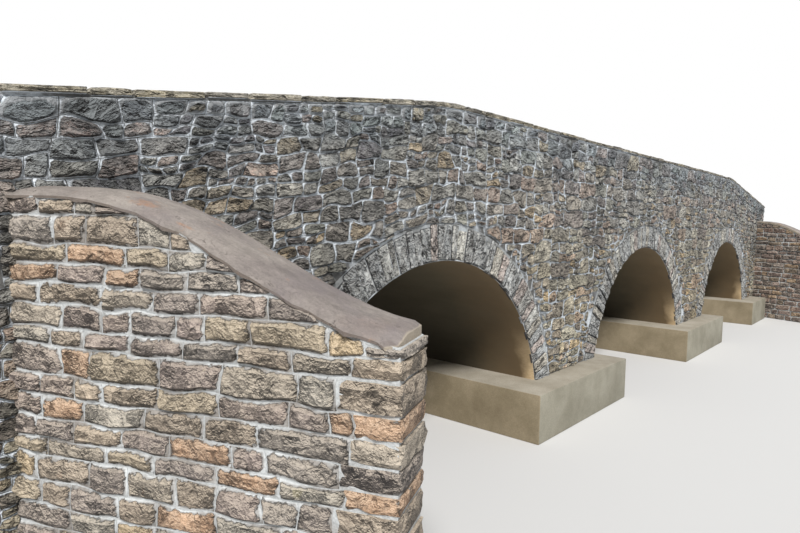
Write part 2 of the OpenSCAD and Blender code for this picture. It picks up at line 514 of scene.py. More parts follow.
# %% The warp
WARP = 0.065
FINE_WARP = 0.008
FADE = 0.25
PHASE = 6.28
WAVE_DICE = random.Random(5)


def waves(count, low, high):
    """Waves across a wall: how steep each is along and up it, and two places to start."""
    spans = ((low, high), (low, high), (0, PHASE), (0, PHASE))
    return [tuple(WAVE_DICE.uniform(*span) for span in spans) for _ in range(count)]


LONG_WAVES = waves(7, 1.5, 9.0)
FINE_WAVES = waves(8, -16, 16)


def warp(flat, height):
    """Shift points of a wall along smooth waves that fade at its top and bottom."""
    along, up = flat[:, 0], flat[:, 1]
    fade = np.clip(np.minimum(up, height - up) / FADE, 0, 1)
    shift_u = sum(np.sin(a * along + b * up + c) / (a + b) for a, b, c, d in LONG_WAVES)
    shift_v = sum(np.sin(b * along - a * up + d) / (a + b) for a, b, c, d in LONG_WAVES)
    fine_u = sum(np.sin(a * along + b * up + c) for a, b, c, d in FINE_WAVES)
    fine_v = sum(np.sin(a * along + b * up + d) for a, b, c, d in FINE_WAVES)
    return np.stack([along + (WARP * shift_u + FINE_WARP * fine_u) * fade,
                     up + (WARP * shift_v + FINE_WARP * fine_v) * fade], axis=1)


course = np.column_stack([np.linspace(0, 2 * half_length, 400), np.full(400, 1.5)])
print("a course wanders by up to", round(float(np.ptp(warp(course, 3.0)[:, 1])), 3), "m")

# %% [markdown]
# ## Fitting
# The ends of the bridge are built of larger squared stones, laid turn about: one with its length
# along the face, the next with its length across the end. Their courses are drawn before any
# rubble, because the rubble is fitted against them, and against the rings as well. A stone that
# would reach in is pressed together on that side, and one that lies inside is left out.

# %% Courses of corner stones
QUOIN_COURSE = (0.2, 0.32)
QUOIN_LONG = 0.62
QUOIN_SHORT = 0.75 * wall_thick
QUOIN_VARIES = (0.85, 1.1)
ROOM_FOR_MORE = 1.4
end_wall_top = float(wall_top(half_length))
end_road = float(road_level(half_length))


def course_levels(bottom, top, dice, low, high):
    """Levels of courses of random height that fill a wall from bottom to top."""
    levels = [bottom]
    while top - levels[-1] > ROOM_FOR_MORE * high:
        levels.append(levels[-1] + dice.uniform(low, high))
    if top - levels[-1] > high:
        levels.append((levels[-1] + top) / 2)
    return levels + [top]


quoin_dice = random.Random(17)
quoins = {}
for end_name in ENDS:
    for side_name in SIDES:
        levels = course_levels(footing_top, end_wall_top, quoin_dice, *QUOIN_COURSE)
        lengths = [(QUOIN_LONG if i % 2 else QUOIN_SHORT) * quoin_dice.uniform(*QUOIN_VARIES)
                   for i in range(len(levels) - 1)]
        quoins[end_name, side_name] = list(zip(levels[:-1], levels[1:], lengths))
print("corner stones:", sum(len(stack) for stack in quoins.values()))

# %% Fit stones to rings and corners
RING_JOINT = 0.004
RING_BITE = 0.01
MOST_PRESSED = 2.5
MOST_SHRUNK = 0.9
ring_clear = ring_outer + RING_JOINT


def squeeze_off(flat, distance, limit, direction):
    """Press a stone together along a direction until no point is nearer than the limit."""
    near, far = distance.min(), distance.max()
    if near >= limit:
        return flat
    share = (limit - near) / max(far - near, ALMOST_NONE)
    power = np.clip(MOST_SHRUNK / share, 1.0, MOST_PRESSED)
    push = (limit - near) * ((far - distance) / (far - near)) ** power
    return flat + direction * push[:, None]


def keep_off_rings(flat):
    """Press a stone outwards off the voussoir rings, or drop it if it lies inside one."""
    for centre in ARCHES.values():
        from_centre = flat - (centre, spring_z)
        distance = np.hypot(from_centre[:, 0], from_centre[:, 1])
        if distance.mean() < ring_clear - RING_BITE:
            return None
        flat = squeeze_off(flat, distance, ring_clear, from_centre / distance[:, None])
    return flat


def keep_off_quoins(flat, side_name):
    """Press a facing stone away from the corner stones at its end of the bridge."""
    end_name = "left" if flat[:, 0].mean() < 0 else "right"
    end = ENDS[end_name]
    level = flat[:, 1].mean()
    reach = half_length - flat[:, 0] * end
    for low, high, length in quoins[end_name, side_name]:
        if low <= level < high:
            if reach.mean() < length:
                return None
            flat = squeeze_off(flat, reach, length + JOINT, np.array([[-end, 0.0]]))
            reach = half_length - flat[:, 0] * end
    return flat


print(f"rubble starts {ring_clear:.3f} m from the centre of an arch")

# %% [markdown]
# ## The two faces
# Each face is laid as one wall from footing to coping. Beds are drawn on a straight wall as high
# as mid-bridge and then squeezed under the hump, so the upper courses follow the coping and the
# lower ones stay level. Stones are larger in the middle of the bridge than at its ends, and the
# beds beside the rings are cut once more. A stone belongs to the solid in which its middle lies.

# %% Lay the faces
GROWTH_SPAN = ((6.0, 10.5), (1.35, 0.95))
BESIDE_RING = 0.45
BESIDE_RING_SIZE = (0.30, 0.56)
face_height = float(wall_top(0.0)) - footing_top


def under_hump(flat, x, height, floor_of):
    """Stones on a straight wall, squeezed between a floor and the hump."""
    low = floor_of(x)
    return np.stack([x, low + flat[:, 1] / height * (wall_top(x) - low)], axis=1)


def face_growth(place):
    """How much larger the stones are in the middle of the bridge than at its ends."""
    return float(np.interp(abs(place - half_length), *GROWTH_SPAN))


def near_ring(bed, side):
    along, up = np.mean(bed, axis=0)
    x = side * (half_length - along)
    z = footing_top + up
    nearest = min(math.hypot(x - centre, z - spring_z) for centre in ARCHES.values())
    return nearest < ring_outer + BESIDE_RING


def lay_face(side_name, side, dice):
    """The outer face of one side, with the outer face of its parapet."""
    beds = []
    for bed in rubble_beds(2 * half_length, face_height, dice, face_growth):
        beds += split(bed, dice, *BESIDE_RING_SIZE) if near_ring(bed, side) else [bed]

    def fit(flat):
        flat = warp(flat, face_height)
        x = side * (half_length - flat[:, 0])
        flat = keep_off_rings(under_hump(flat, x, face_height, lambda x: footing_top))
        return None if flat is None else keep_off_quoins(flat, side_name)

    def stand(flat, height):
        return np.stack([flat[:, 0], side * (half_width + height), flat[:, 1]], axis=1)

    def choose_wall(middle):
        x, z = middle
        if z > road_level(x):
            return wall_of(f"parapet_{side_name}")
        part = "pier" if abs(x) < arch_pitch else "end"
        return wall_of(f"{'left' if x < 0 else 'right'}_{part}_wall_{side_name}")

    lay(beds, rubble_patterns, dice, fit, stand, choose_wall)


for seed, (side_name, side) in enumerate(SIDES.items()):
    lay_face(side_name, side, random.Random(100 + seed))
print("stones in the faces:", {name: len(wall.points) for name, wall in walls.items()})

# %% [markdown]
# The backs of the parapets, towards the road, are low walls of the same rubble, and the two end
# faces of the bridge close it between the corner stones.

# %% Lay the parapets' backs and the ends
END_SETBACK = 0.05
back_height = float(wall_top(0.0) - road_level(0.0))
end_height = end_road - footing_top


def lay_back(side_name, side, dice):
    """The face of a parapet towards the road."""
    def fit(flat):
        flat = warp(flat, back_height)
        x = side * (flat[:, 0] - half_length)
        return keep_off_quoins(under_hump(flat, x, back_height, road_level), side_name)

    def stand(flat, height):
        return np.stack([flat[:, 0], side * (inner_width - height), flat[:, 1]], axis=1)

    lay(rubble_beds(2 * half_length, back_height, dice), rubble_patterns, dice, fit, stand,
        lambda middle: wall_of(f"parapet_{side_name}"))


def lay_end(end_name, end, dice):
    """One end of the bridge, under the road. No stone stands out past the end."""
    def fit(flat):
        flat = warp(flat, end_height)
        return np.stack([end * (flat[:, 0] - inner_width), footing_top + flat[:, 1]], axis=1)

    def stand(flat, height):
        out = end * (half_length + np.minimum(height, 0))
        return np.stack([out, flat[:, 0], flat[:, 1]], axis=1)

    lay(rubble_beds(2 * inner_width, end_height, dice), rubble_patterns, dice, fit, stand,
        lambda middle: wall_of(f"{end_name}_abutment"), proud=SET_BACK - END_SETBACK)


for seed, (side_name, side) in enumerate(SIDES.items()):
    lay_back(side_name, side, random.Random(200 + seed))
for seed, (end_name, end) in enumerate(ENDS.items()):
    lay_end(end_name, end, random.Random(300 + seed))
print("stones in the ends:", [len(wall_of(f"{end_name}_abutment").points) for end_name in ENDS])

# %% Lay the corner stones
QUOIN_PROUD = 0.012


def lay_block(wall, low, high, dice):
    """Lay one block that fills the box between two corners."""
    pattern = dice.choice(block_patterns)
    turn = np.array([dice.choice((-1, 1)), dice.choice((-1, 1)), 1])
    turn[2] = turn[0] * turn[1]
    low, high = np.array(low, float), np.array(high, float)
    points = low + (high - low) * (pattern.points * turn + 0.5)
    wall.add(points, pattern.faces, pattern.rim, tone_of(dice))


for (end_name, side_name), stack in quoins.items():
    end, side = ENDS[end_name], SIDES[side_name]
    across = sorted((side * (half_width + QUOIN_PROUD), side * (inner_width - QUOIN_PROUD)))
    for low, high, length in stack:
        node = "parapet" if (low + high) / 2 > end_road else f"{end_name}_end_wall"
        along = sorted((end * half_length, end * (half_length - length)))
        lay_block(wall_of(f"{node}_{side_name}"), (along[0], across[0], low + JOINT),
                  (along[1], across[1], high - JOINT), quoin_dice)
print("stones in all the rubble:", sum(len(wall.points) for wall in walls.values()))

# %% [markdown]
# ## Voussoirs
# The rings are stones set on edge, narrow and as deep as the ring, all pointing at the centre of
# the arch, and so does their grain. Their outer ends are left uneven. A ring is measured round
# its middle, and each stone takes the next few centimetres, until the ring comes down to the
# footing on the far side.

# %% Lay the rings
EDGE_WIDTH = (0.12, 0.27)
EDGE_RELIEF = (0.018, 0.048)
EDGE_SLOPE = (0.016, 0.032)
EDGE_DEPTH = 0.57
OUTER_ENDS = (-0.07, 0.014)
INNER_ENDS = (-0.014, 0.005)
RING_SET_BACK = 0.012
RING_TAIL = 0.03
SPRING_LAP = 0.02
ring_middle = (ring_inner + ring_outer) / 2
spring_angle = math.asin((footing_top - spring_z) / ring_outer) - SPRING_LAP


def lay_ring(wall, centre, side, dice):
    """One ring of voussoirs, from one footing over the crown to the other."""
    angle = spring_angle
    while angle < math.pi - spring_angle:
        step = dice.uniform(*EDGE_WIDTH) / ring_middle
        outer = ring_outer + dice.uniform(*OUTER_ENDS)
        inner = ring_inner - dice.uniform(*INNER_ENDS)
        pattern = dice.choice(edge_patterns)
        turn = dice.choice((-1, 1))
        depth = dice.uniform(*EDGE_RELIEF)
        edge = dice.uniform(*EDGE_SLOPE)
        across = 0.5 + stretched(pattern, 0, turn, step * ring_middle, edge)
        up = 0.5 + stretched(pattern, 2, turn, EDGE_DEPTH, edge)
        radius = inner + (outer - inner) * up
        turned = angle + step * across
        back = pattern.points[:, 1]
        height = np.where(back < BURIED, -depth * back, -RING_TAIL)
        x = centre + side * radius * np.cos(turned)
        y = side * (half_width + height - RING_SET_BACK)
        z = np.maximum(spring_z + radius * np.sin(turned), footing_top)
        grain = np.stack([radius, height, turned * ring_middle], axis=1)
        wall.add(np.stack([x, y, z], axis=1), pattern.faces, pattern.rim, tone_of(dice), grain)
        angle += step


for seed, (arch_name, centre) in enumerate(ARCHES.items()):
    for side_name, side in SIDES.items():
        lay_ring(wall_of(f"{arch_name}_ring_{side_name}"), centre, side,
                 random.Random(400 + 2 * seed + (side > 0)))
print("voussoirs:", sum(len(wall.points) for name, wall in walls.items() if "_ring_" in name))

# %% [markdown]
# ## Wing walls
# The four wing walls are of squared stones in level courses with thick lime beds. A wing's own
# axes run from the bridge to its free end, outwards from the arches, and up. The free end is
# closed by blocks as thick as the wall, and the top course is cut to the sweep of the cap.

# %% The axes of a wing wall
CLOSE = 0.01


class Wing:
    """The axes and sizes of one wing wall, read off its solids."""

    def __init__(self, end_name, side_name):
        self.end, self.side = ENDS[end_name], SIDES[side_name]
        self.node = f"{end_name}_wing_{side_name}"
        self.cap_node = f"{end_name}_wing_cap_{side_name}"
        points = node_points(self.node)
        foot = points[points[:, 2] < CLOSE][:, :2]
        tip = foot[np.argmax(foot[:, 1] * self.side)]
        at_bridge = foot[np.abs(foot[:, 1] * self.side - half_width) < CLOSE]
        self.root = at_bridge[np.argmax(at_bridge[:, 0] * self.end)]
        self.length = float(np.hypot(*(tip - self.root)))
        self.along = (tip - self.root) / self.length
        square = np.array([self.along[1], -self.along[0]])
        self.handed = 1 if square[0] * self.end > 0 else -1
        self.out = square * self.handed
        self.thick = float(-((foot - self.root) @ self.out).min())
        cap = node_points(self.cap_node)
        run = (cap[:, :2] - self.root) @ self.along
        self.cap_places, self.cap_heights = skyline(run, cap[:, 2])
        self.cap_length = float(run.max())
        self.cap_depth = float(self.cap_heights[-1] - cap[run > run.max() - 1e-3, 2].min())

    def cap_top(self, along):
        return np.interp(along, self.cap_places, self.cap_heights)

    def start(self, out):
        """Where the wing meets the bridge's face, at a place across its thickness."""
        return -out * self.out[1] / self.along[1]

    def world(self, along, out, up):
        """Points given in the wing's own axes, in the frame's."""
        flat = self.root + np.outer(along, self.along) + np.outer(out, self.out)
        return np.column_stack([flat, up])


wings = [Wing(end_name, side_name) for end_name in ENDS for side_name in SIDES]
print(f"wing walls {wings[0].length:.3f} m long, {wings[0].thick:.3f} m thick,",
      f"caps {wings[0].cap_depth:.3f} m")

# %% Close the free end of a wing wall
WING_JOINT = (0.004, 0.006)
WING_BULGE = 0.05
LOWEST_BLOCK = 0.07
END_TRIM = 0.01
wing_dice = random.Random(500)


def lay_wing_end(wing, courses):
    """Blocks as thick as the wall, one to a course, at the free end."""
    end_top = float(wing.cap_heights[-1]) - wing.cap_depth
    for low, high, length in courses:
        if high > end_top - LOWEST_BLOCK:
            high = end_top
        if high - low < LOWEST_BLOCK:
            continue
        pattern = wing_dice.choice(block_patterns)
        x, y, z = pattern.points.T
        along = wing.length - END_TRIM - length * (0.5 - x)
        out = -wing.thick / 2 - (wing.thick + WING_BULGE) * y * wing.handed
        up = low + WING_JOINT[1] + (high - low - 2 * WING_JOINT[1]) * (z + 0.5)
        wall_of(wing.node).add(wing.world(along, out, up), pattern.faces, pattern.rim,
                               tone_of(wing_dice))


# %% Lay the wing walls
WING_COURSE = (0.14, 0.24)
WING_STONE = (0.26, 0.62)
WING_END_STONE = (0.24, 0.5)
WING_SLOPE = (0.026, 0.046)
WING_RELIEF = (0.014, 0.040)
WING_WARP = 0.5
WING_WARP_HEIGHT = 10.0
SWEPT_SHARE = 0.6
UNDER_CAP = 0.008
UNWARPED_FOOT = 0.05
THINNEST = 0.02
THIN = 0.2


def lay_wing_face(wing, courses, faces_out):
    """Squared stones in level courses on one side of a wing wall."""
    turn = wing.handed * faces_out
    face = 0.0 if faces_out > 0 else -wing.thick
    beds = []
    for low, high, length in courses:
        place = wing.start(face) - TAIL
        limit = wing.length - length
        while place < limit:
            run = wing_dice.uniform(*WING_STONE)
            if wing.cap_top(place + run) - wing.cap_depth < high:
                run *= SWEPT_SHARE
            if limit - place - run < SCRAP * WING_STONE[0]:
                run = limit - place
            left, right = sorted((turn * place, turn * (place + run)))
            beds.append(((left, low), (right, low), (right, high), (left, high)))
            place += run

    def fit(flat):
        above_foot = flat[:, 1:] > UNWARPED_FOOT
        flat = flat + WING_WARP * (warp(flat, WING_WARP_HEIGHT) - flat) * above_foot
        low, high = flat[:, 1].min(), flat[:, 1].max()
        ceiling = wing.cap_top(turn * flat[:, 0]) - wing.cap_depth - UNDER_CAP
        share = np.clip((ceiling - low) / (high - low), THINNEST, 1.0)
        if share.mean() < THIN:
            return None
        return np.column_stack([flat[:, 0], low + (flat[:, 1] - low) * share])

    def stand(flat, height):
        return wing.world(turn * flat[:, 0], face + faces_out * height, flat[:, 1])

    lay(beds, squared_patterns, wing_dice, fit, stand, lambda middle: wall_of(wing.node),
        joint=np.array(WING_JOINT), relief=WING_RELIEF, slope=WING_SLOPE)


for wing in wings:
    under_cap = float(wing.cap_heights.max()) - wing.cap_depth
    levels = course_levels(0.0, under_cap, wing_dice, *WING_COURSE)
    lengths = [wing_dice.uniform(*WING_END_STONE) for _ in levels[1:]]
    courses = list(zip(levels[:-1], levels[1:], lengths))
    lay_wing_end(wing, courses)
    lay_wing_face(wing, courses, 1)
    lay_wing_face(wing, courses, -1)
print("stones in a wing wall:", len(wall_of(wings[0].node).points))

# %% [markdown]
# ## Copings
# The copings are thin flagstones laid flat along the hump, each bedded a little differently, with
# ragged edges that oversail the wall. The pattern block is stretched to the flag's length and
# bent to the crest, point by point.

# %% Lay the flagstones
FLAG_LENGTH = (0.32, 0.85)
FLAG_THICK = (0.68, 1.0)
FLAG_DRAWN_IN = (0.0, 0.02)
FLAG_GAP = 0.008
coping_middle = (half_width + inner_width) / 2
for seed, (side_name, side) in enumerate(SIDES.items()):
    dice = random.Random(600 + seed)
    wall = wall_of(f"coping_{side_name}")
    place = -half_length
    while place < half_length - ALMOST_NONE:
        run = dice.uniform(*FLAG_LENGTH)
        if half_length - place - run < FLAG_LENGTH[0]:
            run = half_length - place
        pattern = dice.choice(flag_patterns)
        turn = dice.choice((-1, 1))
        thick = coping_depth * dice.uniform(*FLAG_THICK)
        sink = dice.uniform(0.0, coping_depth - thick)
        reach = coping_reach - dice.uniform(*FLAG_DRAWN_IN)
        shift = dice.uniform(-1, 1) * (coping_reach - reach)
        x = place + FLAG_GAP + (run - 2 * FLAG_GAP) * (0.5 + turn * pattern.points[:, 0])
        y = side * coping_middle + shift + 2 * reach * turn * pattern.points[:, 1]
        z = crest(x) - sink - thick * (0.5 - pattern.points[:, 2])
        wall.add(np.stack([x, y, z], axis=1), pattern.faces, pattern.rim, tone_of(dice))
        place += run
print("flagstones:", sum(len(wall_of(f"coping_{side_name}").points) for side_name in SIDES))

# %% [markdown]
# ## Mortar beds
# Behind the stones lies the wall itself. A copy of the solid serves, with the sides that show
# pushed in by a centimetre or more, so the joints are recessed and the stones stand out of them.
# Under the flagstones the crest of the copy is lowered as well, which opens the gaps between
# them.

# %% Mortar behind the stones
RECESS = 0.012
END_RECESS = END_SETBACK + 0.03
WING_END_RECESS = 0.05
FLAG_LIP = 0.012
FLAG_DEPTH = 0.055
ON_SIDE = 3e-3


def bed_wall(node, pushes, sunk=0.0):
    """Give the stones of a node their mortar: its solid, with sides pushed in, crest sunk."""
    bed = clean_copy(node, node + "_bed")
    bpy.ops.object.mode_set(mode="OBJECT")
    for normal, offset, depth in pushes:
        normal = np.array(normal)
        pick(bed, np.abs(points_of(bed) @ normal - offset) < ON_SIDE)
        bpy.ops.transform.translate(value=tuple(-normal * depth))
        bpy.ops.object.mode_set(mode="OBJECT")
    if sunk:
        place = points_of(bed)
        pick(bed, place[:, 2] > crest(place[:, 0]) - sunk / 2)
        bpy.ops.transform.translate(value=(0, 0, -sunk))
        bpy.ops.object.mode_set(mode="OBJECT")
    bpy.ops.object.mode_set(mode="EDIT")
    finish_mesh()
    wall_of(node).add_mortar(*take(bed))


ends = {name: ((end, 0.0, 0.0), half_length, END_RECESS) for name, end in ENDS.items()}
both_ends = list(ends.values())
lip = coping_reach - wall_thick / 2 + FLAG_LIP
for side_name, side in SIDES.items():
    outward, inward = (0.0, side, 0.0), (0.0, -side, 0.0)
    outer = (outward, half_width, RECESS)
    for part in ("left_end", "left_pier", "right_pier", "right_end"):
        bed_wall(f"{part}_wall_{side_name}", [outer] + both_ends)
    bed_wall(f"parapet_{side_name}", both_ends + [outer, (inward, -inner_width, RECESS)])
    bed_wall(f"coping_{side_name}", both_ends + [
        (outward, coping_middle + coping_reach, lip),
        (inward, -coping_middle + coping_reach, lip)], FLAG_DEPTH)
for end_name, push in ends.items():
    bed_wall(f"{end_name}_abutment", [push])
for wing in wings:
    out = np.append(wing.out, 0.0)
    along = np.append(wing.along, 0.0)
    root_out = float(wing.root @ wing.out)
    root_along = float(wing.root @ wing.along)
    bed_wall(wing.node, [
        (out, root_out, RECESS), (-out, wing.thick - root_out, RECESS),
        (along, root_along + wing.length, WING_END_RECESS)])
print("mortar beds:", sum(wall.mortar_from > 0 for wall in walls.values()))

# %% [markdown]
# ## Arches
# A ring's mortar and a barrel are the same shape at different sizes: a rectangle spun round the
# arch's centre. The spin makes a half circle, which is then cut level with the top of the
# footing, because the centre of the arch lies lower than that.

# %% Spin the arches
ARC_STEPS = 72
RING_RECESS = 0.006


def spun_arch(centre, y_low, y_high, inner, outer):
    """A rectangle spun over an arch and cut level on the footings."""
    deselect()
    bpy.ops.mesh.primitive_plane_add(
        size=1, location=(centre + (inner + outer) / 2, (y_low + y_high) / 2, spring_z))
    arch = bpy.context.object
    arch.scale = (outer - inner, y_high - y_low, 1)
    bpy.ops.object.transform_apply(location=True, rotation=True, scale=True)
    edit_whole(arch)
    bpy.ops.mesh.spin(steps=ARC_STEPS, angle=math.pi, center=(centre, 0, spring_z), axis=(0, 1, 0))
    bpy.ops.mesh.select_all(action="SELECT")
    bpy.ops.mesh.remove_doubles(threshold=SAME_POINT)
    bpy.ops.mesh.bisect(plane_co=(0, 0, footing_top), plane_no=(0, 0, 1), use_fill=True,
                        clear_inner=True)
    finish_mesh()
    return arch


barrels = {}
for arch_name, centre in ARCHES.items():
    for side_name, side in SIDES.items():
        y_low, y_high = sorted((side * inner_width, side * (half_width - RING_RECESS)))
        ring = spun_arch(centre, y_low, y_high, ring_inner, ring_outer)
        wall_of(f"{arch_name}_ring_{side_name}").add_mortar(*take(ring))
    barrels[arch_name] = spun_arch(centre, -inner_width, inner_width, ring_inner, barrel_outer)
    barrels[arch_name].name = f"{arch_name}_barrel_lining"
print("barrel", [round(v, 3) for v in np.ptp(points_of(barrels["middle"]), axis=0)], "m")

# %% [markdown]
# ## Footings
# Footings are cast concrete, so their edges are not knife sharp. A copy of each solid gets a
# narrow bevel, which is enough to catch the light along the edge.

# %% Soften the footings
FOOTING_BEVEL = 0.022
footings = {}
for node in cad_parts:
    if node.endswith("_footing"):
        footing = clean_copy(node, node + "_concrete")
        finish_mesh()
        bevel = footing.modifiers.new("Bevel", "BEVEL")
        bevel.width = FOOTING_BEVEL
        bevel.segments = 3
        bpy.ops.object.modifier_apply(modifier="Bevel")
        footings[node] = footing
print("footings", sorted(footings))

# %% [markdown]
# ## Caps of the wing walls
# Each cap is a band of trowelled mortar that sweeps down and ends in rounded corners. A grid is
# pulled down into a slab as thick as the cap, then its points are placed in the wing's own axes.
# The trowel left the top highest on the inner side, towards the arches, and rounded it off on the
# outer side, where the edge over the stones is ragged. Two sums of waves give the ragged edge and
# the unevenness of the top. Each point keeps its place along the sweep, and how worn it is, for
# the material.

# %% Model the caps
CAP_COLUMNS = 60
CAP_ROWS = 12
CAP_OVERHANG = 0.018
CAP_CORNER = 0.09
INNER_CORNER = 0.25
CAP_CLEAR = 0.002
LEAST_DEPTH = 0.02
OUTER_EDGE, OUTER_SAG = 0.26, 0.085
INNER_EDGE, INNER_SAG = 0.05, 0.020
END_EDGE, END_SAG = 0.05, 0.022
UNEVEN = 0.003
RAGGED_FOOT = 0.4
RAGGED_SIDE = 0.006
RAGGED_TOP = 0.022
RIPPLES = (9.1, 17.3, 31.0)
ROUGHNESS = ((5.1, 4), (13.0, -9))
RUN_APART = 10.0


def cap_slab():
    """A flat slab one unit each way, as a grid with sides in two rows."""
    deselect()
    bpy.ops.mesh.primitive_grid_add(x_subdivisions=CAP_COLUMNS, y_subdivisions=CAP_ROWS, size=1)
    slab = bpy.context.object
    edit_whole(slab)
    for _ in range(2):
        bpy.ops.mesh.extrude_region_move(TRANSFORM_OT_translate={"value": (0, 0, -0.5)})
    finish_mesh()
    return slab


def close_to(distance, width):
    """One at an edge, and zero from a width inside it."""
    return np.clip(1 - distance / width, 0, 1)


def place_cap(wing, place, dice):
    """A slab's points laid over a wing: along it, out and up, and how worn each point is."""
    phases = [dice.uniform(0, PHASE) for _ in range(5)]
    share = 0.5 + place[:, 1] * wing.handed
    out = -wing.thick + share * (wing.thick + 2 * CAP_OVERHANG) - CAP_OVERHANG
    to_outer = (1 - share) * wing.thick
    to_inner = wing.thick - to_outer
    from_side = np.minimum(to_outer, to_inner)
    corner = 1 - np.sqrt(1 - close_to(from_side, CAP_CORNER) ** 2)
    end = wing.cap_length - CAP_CORNER * corner * np.where(share > 0.5, 1.0, INNER_CORNER)
    start = np.array([wing.start(o) for o in out]) - TAIL
    along = start + (end - start) * (place[:, 0] + 0.5)

    ripple = sum(np.sin(along * a + phase) for a, phase in zip(RIPPLES, phases)) / 3
    rough = sum(np.sin(along * a + share * b + phase)
                for (a, b), phase in zip(ROUGHNESS, phases[3:])) / 2
    outer_edge = close_to(to_outer, OUTER_EDGE)
    inner_edge = close_to(to_inner, INNER_EDGE)
    end_edge = close_to(end - along, END_EDGE)
    sag = OUTER_SAG * outer_edge ** 2 + INNER_SAG * inner_edge ** 2 + END_SAG * end_edge ** 2
    top = (wing.cap_top(along) - CAP_CLEAR - sag
           + UNEVEN * rough * (1 - outer_edge) * (1 - inner_edge))
    bottom = wing.cap_top(along) - wing.cap_depth * (1.0 + RAGGED_FOOT * ripple * outer_edge)
    up = top + (np.minimum(bottom, top - LEAST_DEPTH) - top) * -place[:, 2]
    ragged = RAGGED_SIDE * ripple * (from_side < CLOSE) * np.sign(share - 0.5)
    out = out + ragged + RAGGED_TOP * (rough + ripple) * outer_edge ** 3
    return along, out, up, np.maximum(inner_edge, end_edge)


caps = {}
for seed, wing in enumerate(wings):
    cap = cap_slab()
    cap.name = wing.cap_node + "_mortar"
    along, out, up, worn = place_cap(wing, points_of(cap), random.Random(700 + seed))
    cap.data.vertices.foreach_set("co", wing.world(along, out, up).ravel())
    keep(cap.data, "run", "FLOAT_VECTOR", np.column_stack([along, out, up + RUN_APART * seed]))
    keep(cap.data, "rim", "FLOAT", worn)
    edit_whole(cap)
    finish_mesh()
    caps[wing.cap_node] = cap
print("caps", sorted(caps))

# %% [markdown]
# ## Short ways to write a graph
# A material is a graph of nodes. Laid by hand it is a page of boxes and lines, and here each box
# is a line of code. The class below adds a node, joins it to values or to other nodes, and hands
# back what comes out of it. Its last methods are what a painter does most: shade a colour, or lay
# another colour over it where a mask says so.

# %% Tools for graphs


def srgb(red, green, blue):
    """A colour given as on a screen, from 0 to 255, in linear values."""
    return tuple((v / 255) ** 2.2 for v in (red, green, blue)) + (1.0,)


class Graph:
    """Short ways to add and join the nodes of a material or a node group."""

    def __init__(self, tree):
        self.tree = tree

    def link(self, socket, target):
        self.tree.links.new(socket, target)

    def fill(self, node, inputs):
        """Set or link the inputs of a node, named or numbered."""
        for name, value in dict(inputs).items():
            if isinstance(value, bpy.types.NodeSocket):
                self.link(value, node.inputs[name])
            else:
                node.inputs[name].default_value = value
        return node

    def add(self, kind, inputs=(), **settings):
        node = self.tree.nodes.new("ShaderNode" + kind)
        for name, value in settings.items():
            setattr(node, name, value)
        return self.fill(node, inputs)

    def group(self, tree, inputs):
        return self.fill(self.add("Group", node_tree=tree), inputs).outputs

    def noise(self, vector, scale, detail=3.0, roughness=0.55):
        return self.add("TexNoise", {"Vector": vector, "Scale": scale, "Detail": detail,
                                     "Roughness": roughness}).outputs["Fac"]

    def math(self, operation, first, second=0.0, clamp=False):
        return self.add("Math", {0: first, 1: second}, operation=operation,
                        use_clamp=clamp).outputs[0]

    def product(self, *values):
        """Values multiplied together."""
        total = values[0]
        for value in values[1:]:
            total = self.math("MULTIPLY", total, value)
        return total

    def weigh(self, *parts):
        """The sum of values, each times its weight."""
        total = self.product(*parts[0])
        for part in parts[1:]:
            total = self.math("ADD", total, self.product(*part))
        return total

    def off(self, value, middle):
        """How far a value lies from a middle, either way."""
        return self.math("ABSOLUTE", self.math("SUBTRACT", value, middle))

    def remap(self, value, low, high, to_low=0.0, to_high=1.0):
        return self.add("MapRange", {"Value": value, "From Min": low, "From Max": high,
                                     "To Min": to_low, "To Max": to_high}).outputs[0]

    def vector(self, operation, first, second):
        """Two vectors added, subtracted or multiplied."""
        return self.add("VectorMath", {0: first, 1: second}, operation=operation).outputs[0]

    def stretch(self, vector, scale):
        return self.add("Mapping", {"Vector": vector, "Scale": scale}).outputs[0]

    def xyz(self, vector):
        return self.add("SeparateXYZ", {"Vector": vector}).outputs

    def mix(self, factor, first, second, blend="MIX"):
        return self.add("Mix", {0: factor, 6: first, 7: second}, data_type="RGBA",
                        blend_type=blend).outputs[2]

    def ramp(self, factor, colours):
        """One of several colours, picked by a factor from 0 to 1."""
        node = self.add("ValToRGB", {"Fac": factor})
        node.color_ramp.interpolation = "CONSTANT"
        while len(node.color_ramp.elements) < len(colours):
            node.color_ramp.elements.new(0.5)
        for i, (element, colour) in enumerate(zip(node.color_ramp.elements, colours)):
            element.position = i / len(colours)
            element.color = colour
        return node.outputs["Color"]

    def shade(self, colour, value):
        """A colour made darker or lighter by a value."""
        grey = self.add("CombineXYZ", {"X": value, "Y": value, "Z": value}).outputs[0]
        return self.mix(1.0, colour, grey, "MULTIPLY")

    def tint(self, colour, other, mask, strength=1.0):
        """A colour with another laid over it where a mask says so, up to a strength."""
        return self.mix(self.product(mask, strength), colour, other)


def new_group(name, inputs, outputs):
    """An empty node group: the graph to fill it, and the sockets of its two ends."""
    tree = bpy.data.node_groups.new(name, "ShaderNodeTree")
    for label, kind, value in inputs:
        socket = tree.interface.new_socket(label, in_out="INPUT", socket_type="NodeSocket" + kind)
        if value is not None:
            socket.default_value = value
    for label in outputs:
        tree.interface.new_socket(label, in_out="OUTPUT", socket_type="NodeSocketFloat")
    source = tree.nodes.new("NodeGroupInput").outputs
    result = tree.nodes.new("NodeGroupOutput").inputs
    return Graph(tree), source, result


